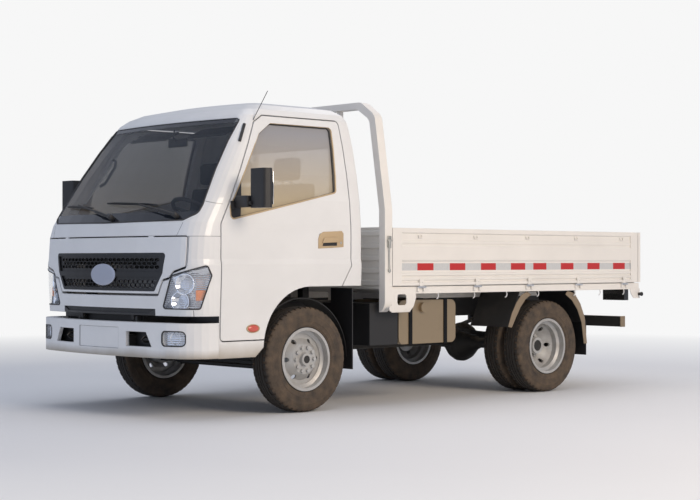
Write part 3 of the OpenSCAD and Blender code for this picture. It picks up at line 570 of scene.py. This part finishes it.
def rim_line(node, facing, radius, shift=0.0):
    """A tube along the outline of a CAD node's faces that look one way."""
    obj = skin_of(node, facing)
    uses = {}
    for face in obj.data.polygons:
        for ends in face.edge_keys:
            uses[ends] = uses.get(ends, 0) + 1
    inner = {edge_key(obj.data, ends) for ends, count in uses.items() if count > 1}
    with Chosen(obj, "polygons"):
        bpy.ops.mesh.delete(type="ONLY_FACE")
    with Chosen(obj, "edges", lambda edge: edge_key(obj.data, edge.vertices) in inner):
        bpy.ops.mesh.delete(type="EDGE")
    with Chosen(obj):
        bpy.ops.transform.translate(value=Vector(facing) * shift)
    return swell(obj, radius, 1)


def copy_of(obj, move=(0, 0, 0), mirror=False):
    """A copy with its own mesh, moved or mirrored across the middle of the truck."""
    free_hands()
    twin = bpy.data.objects.new("copy", obj.data.copy())
    bpy.context.scene.collection.objects.link(twin)
    change = Matrix.Scale(-1, 4, (0, 1, 0)) if mirror else Matrix.Translation(Vector(move))
    twin.data.transform(change)
    if mirror:
        twin.data.flip_normals()
    return twin


def join(parts):
    """Several pieces of one body made one."""
    take(parts[0])
    for part in parts[1:]:
        part.select_set(True)
    bpy.ops.object.join()
    return parts[0]


def fit(obj, name, body, finish, angle=35, replaces=()):
    """Name, finish and smooth a piece, and hang it on its body."""
    take(obj)
    obj.name = obj.data.name = name
    obj.data.materials.clear()
    obj.data.materials.append(FINISHES[finish])
    bpy.ops.object.shade_smooth_by_angle(angle=math.radians(angle))
    if replaces:
        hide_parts(*replaces)
    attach(obj, body)
    return obj


def fit_both_sides(rows, angle=35):
    """A left and a mirrored right copy of each part, which itself goes.

    A row holds the part, name, finish and body, with {} for the side, and replaced nodes.
    """
    for side, s in SIDES:
        for part, name, finish, body, *nodes in rows:
            piece = copy_of(part, mirror=s < 0)
            fit(piece, f"{name}_{side}", body.format(side), finish, angle, nodes)
    for part, *_ in rows:
        bpy.data.objects.remove(part)


class TruckSizes(bpy.types.PropertyGroup):
    """Sizes and colours that a user would change."""
    cab_colour: bpy.props.FloatVectorProperty(
        name="Cab colour", description="Paint of the cab and the bumper",
        default=(0.80, 0.80, 0.79), subtype="COLOR", min=0, max=1)
    bed_colour: bpy.props.FloatVectorProperty(
        name="Bed colour", description="Paint of the load bed and the hoop",
        default=(0.83, 0.80, 0.75), subtype="COLOR", min=0, max=1)
    trim_radius: bpy.props.FloatProperty(
        name="Window seal radius", description="Half thickness of the rubber round the glass",
        default=0.006, unit="LENGTH", min=0.002, max=0.02)
    lens_wall: bpy.props.FloatProperty(
        name="Lens thickness", description="Thickness of the head lamps' lenses",
        default=0.003, unit="LENGTH", min=0.001, max=0.01)
    lamp_power: bpy.props.FloatProperty(
        name="Studio light", description="Power of the soft lamps together, in watts",
        default=900.0, min=0, max=5000)


class TRUCK_OT_finishes(bpy.types.Operator):
    """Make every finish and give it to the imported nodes"""
    bl_idname = "truck.finishes"
    bl_label = "Finishes"

    def execute(self, context):
        cab_colour = tuple(context.scene.truck.cab_colour)
        paint("cab paint", cab_colour, CAB_DUST, 0.56, soft=0.004)
        bumper_paint(cab_colour)
        shell_paint(cab_colour)
        bed_paint(tuple(context.scene.truck.bed_colour))
        for row in DUSTY_FINISHES:
            dusty(*row)
        for make in (tank_silver, wheel_silver, tyre_rubber, glass_finishes, lamp_finishes,
                     tail_lens, small_finishes):
            make()
        for finish, names in NODE_FINISH.items():
            for name in names:
                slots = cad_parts[name].material_slots
                if not slots:
                    raise RuntimeError(f"{name} has no material slot")
                for each in slots:
                    each.material = FINISHES[finish]
        return {"FINISHED"}


TYRE_HALF = (
    # (radius, distance from the tyre's middle) from the bead to the crown
    (0.2130, 0.0717), (0.2285, 0.0725), (0.2330, 0.0790), (0.2400, 0.0818),
    (0.2425, 0.0850), (0.2480, 0.0858), (0.2520, 0.0868), (0.2700, 0.0902),
    (0.2730, 0.0917), (0.2755, 0.0904), (0.2950, 0.0920), (0.3150, 0.0918),
    (0.3180, 0.0924), (0.3205, 0.0912), (0.3380, 0.0885), (0.3480, 0.0858),
    (0.3600, 0.0800), (0.3660, 0.0755), (0.3700, 0.0690), (0.3722, 0.0560),
    (0.3735, 0.0450), (0.3640, 0.0437), (0.3640, 0.0385), (0.3740, 0.0370),
    (0.3748, 0.0150), (0.3652, 0.0138), (0.3652, 0.0086), (0.3750, 0.0072),
)
TREAD_STEPS = 144
SHOULDER_RADIUS = 0.3585
SHOULDER_INNER, SHOULDER_OUTER = 0.046, 0.082
GAP_DEPTH = 0.0065


def tyre(x, y):
    """Ribs and grooves from the profile, and every third step of the shoulder pressed in."""
    middle = Vector((x, y, AXLE_Z))
    profile = [*TYRE_HALF, *((r, -t) for r, t in reversed(TYRE_HALF))]
    obj = lathe(profile, middle, TREAD_STEPS)

    def in_gap(face):
        spoke = face.center - middle
        turn = math.degrees(math.atan2(spoke.z, spoke.x)) % 360
        on_shoulder = (math.hypot(spoke.x, spoke.z) > SHOULDER_RADIUS
                       and SHOULDER_INNER < abs(spoke.y) < SHOULDER_OUTER)
        step = int(turn * TREAD_STEPS / 360 + (1 if spoke.y > 0 else 2))
        return on_shoulder and step % 3 == 0

    with Chosen(obj, "polygons", in_gap):
        bpy.ops.mesh.extrude_region_shrink_fatten(
            TRANSFORM_OT_shrink_fatten={"value": -GAP_DEPTH})
    return obj


class TRUCK_OT_tyres(bpy.types.Operator):
    """Tyres with ribs, grooves and shoulder lugs"""
    bl_idname = "truck.tyres"
    bl_label = "Tyres"

    def execute(self, context):
        first = tyre(FRONT_AXLE_X, FRONT_WHEEL_Y)
        back = REAR_AXLE_X - FRONT_AXLE_X
        for side, s in SIDES:
            front = first if s > 0 else copy_of(first, (0, -2 * FRONT_WHEEL_Y, 0))
            twins = [copy_of(first, (back, s * REAR_WHEEL_Y + t - FRONT_WHEEL_Y, 0))
                     for t in (-TWIN_SHIFT, TWIN_SHIFT)]
            fit(front, f"tyre_tread_front_{side}", f"wheel_front_{side}", "tyre rubber", 30,
                (f"tyre_front_{side}",))
            fit(join(twins), f"tyres_tread_rear_{side}", f"wheel_rear_{side}", "tyre rubber", 30,
                (f"tyres_rear_{side}",))
        return {"FINISHED"}


LAMP_OUT = Vector((1, 1, 0)).normalized()
LAMP_AIM = Vector((0.88, 0.47, 0))
REFLECTORS = (
    # middle of the mouth and radius, upper then lower
    ((2.306, 0.811, 0.918), 0.066),
    ((2.318, 0.775, 0.800), 0.062),
)
BOWL_DEPTH = 0.042
BULB_BACK = (0.036, 0.019, 0)
LAMP_STRIP = (
    # points on the lens, from the inner upper corner round
    (2.348, 0.735, 0.962), (2.275, 0.862, 1.006), (2.207, 0.935, 1.028),
    (2.196, 0.938, 0.990), (2.272, 0.862, 0.962), (2.345, 0.738, 0.925),
)
LAMP_INDICATOR = (
    (2.278, 0.895, 0.876), (2.213, 0.932, 0.876), (2.213, 0.932, 0.806), (2.278, 0.895, 0.806),
)


def bowl(spot, aim, radius, depth):
    """A reflector bowl that opens toward aim."""
    rings = 7
    profile = [(radius * math.sqrt(i / rings), depth * i / rings - depth)
               for i in range(rings + 1)]
    profile += [(radius * 1.06, 0.0), (radius * 1.06, -0.006)]
    obj = lathe(profile, (0, 0, 0), 32)
    turn = Vector(aim).to_track_quat("Y", "Z").to_matrix().to_4x4()
    obj.data.transform(Matrix.Translation(Vector(spot)) @ turn)
    return obj


def left_half(obj):
    """What lies on the left of a piece that has both sides."""
    with Chosen(obj, "vertices", lambda vertex: vertex.co.y < 0):
        bpy.ops.mesh.delete(type="VERT")
    return obj


def lamp_tray(lens):
    """The lens's outline drawn back into a tray, without its front."""
    def face_key(face):
        return tuple(round(c, 4) for c in face.center)

    fronts = {face_key(face) for face in lens.data.polygons}
    tray = copy_of(lens)
    with Chosen(tray, "polygons"):
        bpy.ops.mesh.extrude_region_move(TRANSFORM_OT_translate={"value": LAMP_OUT * -0.055})
    with Chosen(tray, "polygons", lambda face: face_key(face) in fronts):
        bpy.ops.mesh.delete(type="FACE")
    return thicken(tray, 0.0015, 0)


def bulb(mouth):
    """A round bulb from behind the middle of a reflector's mouth toward it."""
    start = Vector([c - back for c, back in zip(mouth, BULB_BACK)])
    return bar(start, start + LAMP_AIM * 0.026, 0.012)


def behind_lens(outline):
    """An outline on the lens moved back into the lamp."""
    return [Vector(point) + LAMP_OUT * -0.013 for point in outline]


class TRUCK_OT_head_lamps(bpy.types.Operator):
    """Head lamps: lens, housing, edge, reflectors, bulbs, bright strip and indicator"""
    bl_idname = "truck.head_lamps"
    bl_label = "Head lamps"

    def execute(self, context):
        lens = left_half(skin_of("headlamps", LAMP_OUT, 0.25))
        tray = lamp_tray(lens)
        thicken(lens, context.scene.truck.lens_wall, -1)
        edge = left_half(rim_line("headlamps", LAMP_OUT, 0.0045))
        bowls = join([bowl(mouth, LAMP_AIM, radius, BOWL_DEPTH) for mouth, radius in REFLECTORS])
        bulbs = join([bulb(mouth) for mouth, _ in REFLECTORS])
        strip = plate(behind_lens(LAMP_STRIP), (-0.003, -0.003, 0), 0.001)
        amber = plate(behind_lens(LAMP_INDICATOR), (-0.012, -0.018, 0), 0.004)
        fit_both_sides((
            (lens, "lamp_lens", "lamp lens", "cab", "headlamps"),
            (tray, "lamp_housing", "lamp lining", "cab"),
            (edge, "lamp_edge", "black plastic", "cab"),
            (bowls, "lamp_reflectors", "lamp bowl", "cab"),
            (strip, "lamp_strip", "reflector", "cab"),
            (bulbs, "lamp_bulbs", "lamp lens", "cab"),
            (amber, "lamp_indicator", "amber lens", "cab")), 30)
        return {"FINISHED"}


class TRUCK_OT_fog_lamps(bpy.types.Operator):
    """Fog lamps: bowls, clear lenses, linings and rims"""
    bl_idname = "truck.fog_lamps"
    bl_label = "Fog lamps"

    def execute(self, context):
        bowls = [bowl((2.352, s * 0.768, 0.552), (0.92, s * 0.38, 0), 0.040, 0.018)
                 for _, s in SIDES]
        fit(join(bowls), "fog_lamp_bowls", "chassis", "lamp bowl", 30)
        lens = thicken(skin_of("fog_lamps", (1, 0, 0), 0.3), 0.002, -1)
        fit(lens, "fog_lamp_lenses", "chassis", "lamp lens", 30, ("fog_lamps",))
        lining = thicken(skin_of("fog_lamps", (-1, 0, 0), 0.3), 0.002, 1)
        fit(lining, "fog_lamp_lining", "chassis", "lamp lining", 30)
        rims = rim_line("fog_lamps", (1, 0.2, 0), 0.006)
        fit(rims, "fog_lamp_rims", "chassis", "black plastic")
        return {"FINISHED"}


class TRUCK_OT_window_trim(bpy.types.Operator):
    """Seals and frames round the glass, mirror corners and the pillars' slots"""
    bl_idname = "truck.window_trim"
    bl_label = "Window trim"

    def execute(self, context):
        r = context.scene.truck.trim_radius
        for side, s in SIDES:
            glass, body = f"door_glass_{side}", f"door_{side}"
            way = Vector((0, s, 0.2))
            seal = rim_line(glass, way, r)
            with Chosen(seal):
                bpy.ops.transform.resize(value=(0.984, 1, 0.982),
                                         center_override=(1.56, 0, 1.70))
                bpy.ops.transform.translate(value=(0, s * 0.006, 0))
            fit(seal, f"window_seal_{side}", body, "black plastic")
            surround = rim_line(glass, way, r * 1.15, 0.017)
            fit(surround, f"window_frame_{side}", body, "trim beige")
            corner = skin_of(glass, way)
            with Chosen(corner, "polygons"):
                bpy.ops.mesh.bisect(plane_co=(1.915, 0, 1.45), plane_no=(1, 0, 0.12),
                                    clear_inner=True)
            corner = soften(thicken(corner, 0.012, 1), 0.002)
            fit(corner, f"mirror_corner_{side}", body, "black plastic")
        slots = [tube([(1.782, s * 0.800, 2.024), (1.862, s * 0.846, 1.899)], 0.011)
                 for _, s in SIDES]
        for piece, name in (
                (join(slots), "pillar_slots"),
                (rim_line("windscreen", (1, 0, 0.6), 0.008), "screen_seal"),
                (rim_line("rear_window", (-1, 0, 0), 0.010), "rear_window_seal")):
            fit(piece, name, "cab", "black plastic")
        return {"FINISHED"}


WIPERS = (
    # (y, z) of the pivot, of the arm's joint with the blade, and of the blade's tip and heel
    ((0.061, 1.366), (-0.500, 1.466), (-0.735, 1.470), (-0.271, 1.448)),
    ((0.707, 1.371), (0.300, 1.451), (-0.100, 1.477), (0.479, 1.452)),
)


def on_screen(y, z, out):
    """A point a little outside the windscreen."""
    x = 2.393 - 0.110 * (z - 1.332) / 0.168 - 0.090 * (y / 0.766) ** 2
    return Vector((x + 0.82 * out, y, z + 0.57 * out))


def wiper(pivot, joint, tip, heel):
    """The parts of one wiper: a capped pivot, a sprung arm, and a blade with its spine."""
    steps = 6

    def blade(out, places):
        return [on_screen(*(a + (b - a) * k / steps for a, b in zip(tip, heel)), out)
                for k in places]

    foot, end = on_screen(*pivot, 0.022), on_screen(*joint, 0.026)
    neck = on_screen(*(a * 0.62 + b * 0.38 for a, b in zip(pivot, joint)), 0.034)
    rubber, spine = blade(0.009, range(steps + 1)), blade(0.021, range(1, steps))
    return [bar(on_screen(*pivot, -0.004), on_screen(*pivot, 0.040), 0.019, 20),
            tube([foot, neck], 0.012), tube([neck, end], 0.0065), tube(rubber, 0.0065),
            tube([rubber[0], *spine, rubber[-1]], 0.0045)]


class TRUCK_OT_wipers(bpy.types.Operator):
    """Two wipers with sprung arms, blades and capped pivots"""
    bl_idname = "truck.wipers"
    bl_label = "Wipers"

    def execute(self, context):
        parts = [part for spots in WIPERS for part in wiper(*spots)]
        fit(join(parts), "wiper_set", "cab", "black plastic", 35, ("wipers",))
        return {"FINISHED"}


class TRUCK_OT_emblem(bpy.types.Operator):
    """A plain oval disc on the grille's middle bar"""
    bl_idname = "truck.emblem"
    bl_label = "Blank disc"

    def execute(self, context):
        spot = (2.4085, 0, 0.977)
        crown = [(0.0, 0.0105), (0.030, 0.0102), (0.060, 0.0090), (0.072, 0.0072),
                 (0.076, 0.0045), (0.076, 0.0)]
        disc = lathe(crown, spot, 64, (1, 0, 0))
        with Chosen(disc):
            bpy.ops.transform.resize(value=(1, 1.96, 1), center_override=spot)
        fit(disc, "emblem_disc", "front_lid", "emblem blank")
        return {"FINISHED"}


MUDGUARD_LIPS = (
    # (x, z) along the outer edge and back along the inner, ahead of the wheel and behind it
    ((-0.757, 0.548), (-0.803, 0.655), (-0.860, 0.742), (-0.920, 0.800), (-0.985, 0.826),
     (-1.040, 0.800), (-0.965, 0.762), (-0.905, 0.700), (-0.850, 0.620), (-0.800, 0.540)),
    ((-1.500, 0.826), (-1.590, 0.800), (-1.665, 0.715), (-1.722, 0.600), (-1.752, 0.380),
     (-1.712, 0.380), (-1.680, 0.560), (-1.625, 0.668), (-1.555, 0.745), (-1.470, 0.795)),
)


class TRUCK_OT_chassis_fittings(bpy.types.Operator):
    """Dusty lips on the rear mudguards and caps on the underrun bar's ends"""
    bl_idname = "truck.chassis_fittings"
    bl_label = "Chassis fittings"

    def execute(self, context):
        lips = join([side_plate(outline, 0.990, 0.006, 0.002) for outline in MUDGUARD_LIPS])
        cap = brick((-2.397, 0.893, 0.498), (-2.333, 0.903, 0.592), 0.003)
        fit_both_sides(((lips, "mudguard_lips", "dusty lip", "chassis"),
                        (cap, "underrun_cap", "dusty lip", "chassis")))
        return {"FINISHED"}


class TRUCK_OT_mirrors(bpy.types.Operator):
    """Mirror glass, and the collars where the arms leave the doors"""
    bl_idname = "truck.mirrors"
    bl_label = "Mirrors"

    def execute(self, context):
        glass = brick((1.8835, 1.085, 1.452), (1.8895, 1.236, 1.674), 0.002)
        collar = brick((1.948, 0.953, 1.434), (1.992, 1.085, 1.514), 0.010, 3)
        fit_both_sides(((glass, "mirror_glass", "mirror glass", "door_{}"),
                        (collar, "mirror_collar", "black plastic", "door_{}")))
        return {"FINISHED"}


HANDLE_Y = 0.9465
CUP_THICKNESS = 0.005
# Outlines of the door handle as (x, z), from the lower back corner round
HANDLE_CUP = ((0.984, 1.172), (1.228, 1.160), (1.228, 1.232), (1.212, 1.262), (1.180, 1.280),
              (1.000, 1.288), (0.984, 1.270))
HANDLE_SLOT = ((1.050, 1.182), (1.190, 1.178), (1.180, 1.205), (1.050, 1.212))
HANDLE_LEVER = ((1.046, 1.206), (1.196, 1.200), (1.176, 1.236), (1.046, 1.244))
KEY_X, KEY_Z = 1.012, 1.202
REPEATER_SPOT = (1.819, 0.9395, 0.609)


def repeater_ring():
    """An oval ring round the repeater's lens."""
    ring = add("torus", major_segments=40, minor_segments=10, major_radius=1,
               minor_radius=0.12, location=REPEATER_SPOT, rotation=(math.radians(90), 0, 0))
    with Chosen(ring):
        bpy.ops.transform.resize(value=(0.053, 0.05, 0.027), center_override=REPEATER_SPOT)
    return ring


class TRUCK_OT_door_fittings(bpy.types.Operator):
    """Door handles with their key locks, and the side repeaters"""
    bl_idname = "truck.door_fittings"
    bl_label = "Door fittings"

    def execute(self, context):
        face = HANDLE_Y + CUP_THICKNESS
        cup = side_plate(HANDLE_CUP, HANDLE_Y, CUP_THICKNESS, 0.002)
        slot = side_plate(HANDLE_SLOT, face, 0.0012, 0.0005)
        lever = side_plate(HANDLE_LEVER, face, 0.010, 0.004, 3)
        key = bar((KEY_X, face - 0.001, KEY_Z), (KEY_X, face + 0.004, KEY_Z), 0.010)
        lens = add("uv_sphere", segments=32, ring_count=16, radius=1,
                   location=REPEATER_SPOT, scale=(0.050, 0.013, 0.024))
        fit_both_sides((
            (cup, "handle_cup", "trim beige", "door_{}"),
            (slot, "handle_slot", "black plastic", "door_{}"),
            (lever, "handle_lever", "trim beige", "door_{}"),
            (key, "handle_key", "zinc", "door_{}"),
            (lens, "repeater_lens", "repeater lens", "door_{}"),
            (repeater_ring(), "repeater_ring", "trim beige", "door_{}")))
        return {"FINISHED"}


class TRUCK_OT_bumper_fittings(bpy.types.Operator):
    """Dark backing behind the bumper's openings, tow eyes and a bare rear number plate"""
    bl_idname = "truck.bumper_fittings"
    bl_label = "Bumper fittings"

    def execute(self, context):
        back = brick((2.335, -0.640, 0.470), (2.350, 0.640, 0.610), 0.004)
        fit(back, "bumper_backing", "chassis", "black plastic")
        eye = ((2.352, 0.520), (2.385, 0.520), (2.405, 0.536), (2.385, 0.552), (2.352, 0.552))
        eyes = [tube([(x, s * 0.46, z) for x, z in eye], 0.008) for _, s in SIDES]
        fit(join(eyes), "tow_eyes", "chassis", "frame black")
        sign = brick((-2.401, -0.222, 0.600), (-2.397, 0.222, 0.740), 0.0018)
        arms = [bar((-2.396, y, 0.735), (-2.352, y, 0.735), 0.008) for y in (-0.12, 0.12)]
        fit(sign, "number_plate_rear", "chassis", "bare plate")
        fit(join(arms), "number_plate_arms", "chassis", "frame black")
        return {"FINISHED"}


HINGES = 5
FIRST_HINGE, HINGE_ENDS = 0.305, 0.503
HOOK_PLACES = (0.070, -0.337, -0.713, -1.100, -1.566, -1.900, -2.226)
# Bent wires as (along, out of the board's face, height), from a place along the board
LUG_WIRE = ((-0.020, -0.018, 1.268), (-0.020, -0.006, 1.262), (-0.020, -0.004, 1.246),
            (0.016, -0.004, 1.246), (0.016, -0.006, 1.262), (0.016, -0.018, 1.268))
HOOK_WIRE = ((0, -0.022, 0.834), (0, -0.014, 0.826), (-0.002, -0.012, 0.806),
             (0.004, -0.013, 0.792), (0.016, -0.014, 0.784))
CORNER_PLATE = ((-2.441, 0.835), (-2.300, 0.835), (-2.318, 0.790), (-2.352, 0.752),
                (-2.441, 0.748))
PEG_X, PEG_Z = -2.426, 0.786


def by_board(x, *points):
    """Points given from a place along the left board's face."""
    return [(x + along, BOARD_Y + out, z) for along, out, z in points]


def board_latch(x):
    """A catch on its plate, with a pin, a pull ring, and a rod down to its guide."""
    return join([
        brick(*by_board(x, (-0.018, -0.001, 1.172), (0.018, 0.004, 1.256)), 0.002),
        brick(*by_board(x, (-0.012, 0.002, 1.165), (0.012, 0.020, 1.232)), 0.005, 3),
        bar(*by_board(x, (-0.022, 0.012, 1.222), (0.022, 0.012, 1.222)), 0.007),
        tube(by_board(x, (0.012, 0.012, 1.222), (0.010, 0.016, 1.252),
                      (-0.010, 0.016, 1.252), (-0.012, 0.012, 1.222)), 0.004),
        tube(by_board(x, (0, 0.012, 1.180), (0, 0.008, 1.120), (-0.004, 0.006, 0.985)), 0.0055),
        brick(*by_board(x, (-0.014, -0.001, 0.990), (0.010, 0.012, 1.012)), 0.003)])


def corner_peg():
    """A rubber peg with a wider knob, at the bed's back corner."""
    ends = [(PEG_X, BOARD_Y + out, PEG_Z) for out in (-0.012, 0.018, 0.030, 0.032)]
    return join([bar(ends[0], ends[2], 0.013), bar(ends[1], ends[3], 0.018)])


class TRUCK_OT_bed_fittings(bpy.types.Operator):
    """Hinge bolts, rope lugs and hooks, latches, and the corner plates with their pegs"""
    bl_idname = "truck.bed_fittings"
    bl_label = "Bed fittings"

    def execute(self, context):
        span = BED_FRONT_X - BED_BACK_X - HINGE_ENDS
        places = [BED_FRONT_X - FIRST_HINGE - i / (HINGES - 1) * span for i in range(HINGES)]
        bolts = [bar(*by_board(x + along, (0, 0.002, 0.912), (0, 0.0075, 0.912)), 0.006, 6)
                 for x in places for along in (-0.010, 0.010)]
        lugs = [tube(by_board(x + 0.006 * (i + 1), *LUG_WIRE), 0.0045)
                for i, x in enumerate(places)]
        hooks = [tube(by_board(x, *HOOK_WIRE), 0.0042) for x in HOOK_PLACES]
        corner = side_plate(CORNER_PLATE, BOARD_Y - 0.010, 0.005, 0.001)
        fit_both_sides((
            (join(bolts), "hinge_bolts", "bed paint", "side_board_{}"),
            (join(lugs), "rope_lugs", "bed paint", "side_board_{}"),
            (join(hooks), "rope_hooks", "bare plate", "chassis"),
            (board_latch(BED_FRONT_X + 0.037), "board_latch", "zinc", "chassis"),
            (corner, "corner_plate", "bed paint", "chassis"),
            (corner_peg(), "corner_peg", "black plastic", "chassis")))
        return {"FINISHED"}


REST_X, REST_Z = 1.035, 1.755
REST_SIZE = (0.085, 0.25, 0.17)
REST_PLACES = (0.385, -0.17, -0.52)
GRAB_WIRE = ((1.900, 0.800, 1.640), (1.875, 0.770, 1.660), (1.800, 0.745, 1.790),
             (1.790, 0.750, 1.830), (1.795, 0.775, 1.845))


def head_rest(y):
    """A soft crowned block above a seat's back."""
    rest = add("cube", size=1, location=(REST_X, y, REST_Z), scale=REST_SIZE)
    return apply(soften(rest, 0.03, 3), "SUBSURF", levels=2, render_levels=2)


def sun_visor(y):
    """A flat pad tipped down from the screen's top."""
    visor = brick((1.640, y - 0.22, 2.020), (1.790, y + 0.22, 2.036), 0.006, 3)
    with Chosen(visor):
        bpy.ops.transform.rotate(value=math.radians(-25), orient_axis="Y",
                                 center_override=(1.64, 0, 2.03))
    return visor


class TRUCK_OT_cabin(bpy.types.Operator):
    """Head rests, inner mirror, grab handles and sun visors"""
    bl_idname = "truck.cabin"
    bl_label = "Cabin"

    def execute(self, context):
        rests = join([head_rest(y) for y in REST_PLACES])
        fit(rests, "head_rests", "cab", "seat cloth")
        posts = [bar((REST_X, y + t, 1.630), (REST_X, y + t, 1.70), 0.006)
                 for y in REST_PLACES for t in (-0.05, 0.05)]
        fit(join(posts), "head_rest_posts", "cab", "zinc")
        glass = brick((1.748, -0.110, 1.905), (1.768, 0.110, 1.965), 0.008, 3)
        stem = tube([(1.770, 0, 1.94), (1.800, 0, 1.975), (1.790, 0, 2.03)], 0.006)
        fit(join([glass, stem]), "inner_mirror", "cab", "black plastic")
        grabs = [tube([(x, s * y, z) for x, y, z in GRAB_WIRE], 0.011) for _, s in SIDES]
        fit(join(grabs), "grab_handles", "cab", "cabin plastic")
        visors = [sun_visor(s * 0.36) for _, s in SIDES]
        fit(join(visors), "sun_visors", "cab", "cabin plastic")
        return {"FINISHED"}


CAMERA_SPOT = (8.652, 9.259, 1.078)
CAMERA_TURN = (90.371, 0.0, 137.061)
CAMERA_LENS = 80.57
BACKDROP = (0.93, 0.93, 0.93)
SKY = (0.74, 0.79, 0.93)
SOFT_LAMPS = (
    # name, place, size, share of the power, colour
    ("sun side", (0.5, 11.0, 5.5), 5.0, 0.80, (1.0, 0.85, 0.69)),
    ("sky ahead", (10.0, -2.0, 4.0), 8.0, 0.13, (0.60, 0.73, 1.0)),
    ("back", (-8.0, -3.0, 6.0), 6.0, 0.16, (1.0, 0.95, 0.9)),
    ("top", (0, 0, 9.0), 8.0, 0.18, (0.86, 0.91, 1.0)),
)
LAMP_TARGET = Vector((0, 0, 0.9))


def pale_floor():
    """A pale floor that fades into the backdrop's colour for the camera alone."""
    f = Finish("pale floor", roughness=0.9)
    f.set(base_color=f.mix(f.noise(0.7), (0.80, 0.80, 0.80), (0.77, 0.77, 0.77)))
    glow = f.node("ShaderNodeEmission", {}, {"Color": BACKDROP})
    reach = f.node("ShaderNodeVectorMath", {"operation": "LENGTH"}, {0: f.place}, "Value")
    faded = f.ramp(reach, 4.5, 11.0) * f.node("ShaderNodeLightPath", output="Is Camera Ray")
    mixed = f.node("ShaderNodeMixShader", {}, {0: faded, 1: Signal(f, f.shader.outputs[0]), 2: glow})
    f.wire(f.tree.nodes["Material Output"].inputs["Surface"], mixed)
    floor = add("plane", size=80)
    floor.name = "floor"
    floor.data.materials.append(FINISHES["pale floor"])


def studio_world():
    """Soft sky light, with the plain backdrop where the camera or glass looks past it."""
    world = bpy.data.worlds.new("studio")
    world.use_nodes = True
    sky = Wiring(world.node_tree)
    shade = sky.tree.nodes["Background"]
    sky.wire(shade.inputs["Color"], SKY)
    sky.wire(shade.inputs["Strength"], 0.50)
    backdrop = sky.node("ShaderNodeBackground", inputs={"Color": BACKDROP})
    camera, glass = (sky.node("ShaderNodeLightPath", output=f"Is {kind} Ray")
                     for kind in ("Camera", "Transmission"))
    blend = sky.node("ShaderNodeMixShader", inputs={
        0: camera.maximum(glass), 1: Signal(sky, shade.outputs[0]), 2: backdrop})
    sky.wire(sky.tree.nodes["World Output"].inputs["Surface"], blend)
    return world


class TRUCK_OT_stage(bpy.types.Operator):
    """Camera at the photograph's angle, a pale floor and soft studio light"""
    bl_idname = "truck.stage"
    bl_label = "Stage"

    def execute(self, context):
        free_hands()
        turn = [math.radians(angle) for angle in CAMERA_TURN]
        bpy.ops.object.camera_add(location=CAMERA_SPOT, rotation=turn)
        camera = bpy.context.object
        camera.name = "camera"
        camera.data.sensor_width = 36.0
        camera.data.lens = CAMERA_LENS
        context.scene.camera = camera
        pale_floor()
        for name, spot, size, share, colour in SOFT_LAMPS:
            turn = (Vector(spot) - LAMP_TARGET).to_track_quat("Z", "Y").to_euler()
            bpy.ops.object.light_add(type="AREA", location=spot, rotation=turn)
            lamp = bpy.context.object
            lamp.name = name
            lamp.data.energy = context.scene.truck.lamp_power * share
            lamp.data.color = colour
            lamp.data.size = size
        context.scene.world = studio_world()
        context.scene.view_settings.view_transform = "Standard"
        return {"FINISHED"}


ORDER = (TRUCK_OT_finishes, TRUCK_OT_tyres, TRUCK_OT_head_lamps, TRUCK_OT_fog_lamps,
         TRUCK_OT_window_trim, TRUCK_OT_wipers, TRUCK_OT_emblem, TRUCK_OT_chassis_fittings,
         TRUCK_OT_mirrors, TRUCK_OT_door_fittings, TRUCK_OT_bumper_fittings,
         TRUCK_OT_bed_fittings, TRUCK_OT_cabin, TRUCK_OT_stage)


class TRUCK_PT_panel(bpy.types.Panel):
    """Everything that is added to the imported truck"""
    bl_idname = "TRUCK_PT_panel"
    bl_label = "Flatbed truck"
    bl_space_type = "VIEW_3D"
    bl_region_type = "UI"
    bl_category = "Truck"

    def draw(self, context):
        for name in TruckSizes.__annotations__:
            self.layout.prop(context.scene.truck, name)
        for kind in ORDER:
            self.layout.operator(kind.bl_idname)


CLASSES = (TruckSizes, *ORDER, TRUCK_PT_panel)


def register():
    for kind in CLASSES:
        bpy.utils.register_class(kind)
    bpy.types.Scene.truck = bpy.props.PointerProperty(type=TruckSizes)


def unregister():
    del bpy.types.Scene.truck
    for kind in reversed(CLASSES):
        bpy.utils.unregister_class(kind)


def main():
    register()
    for kind in ORDER:
        getattr(bpy.ops.truck, kind.bl_idname.split(".")[1])()


if __name__ == "__main__":
    main()
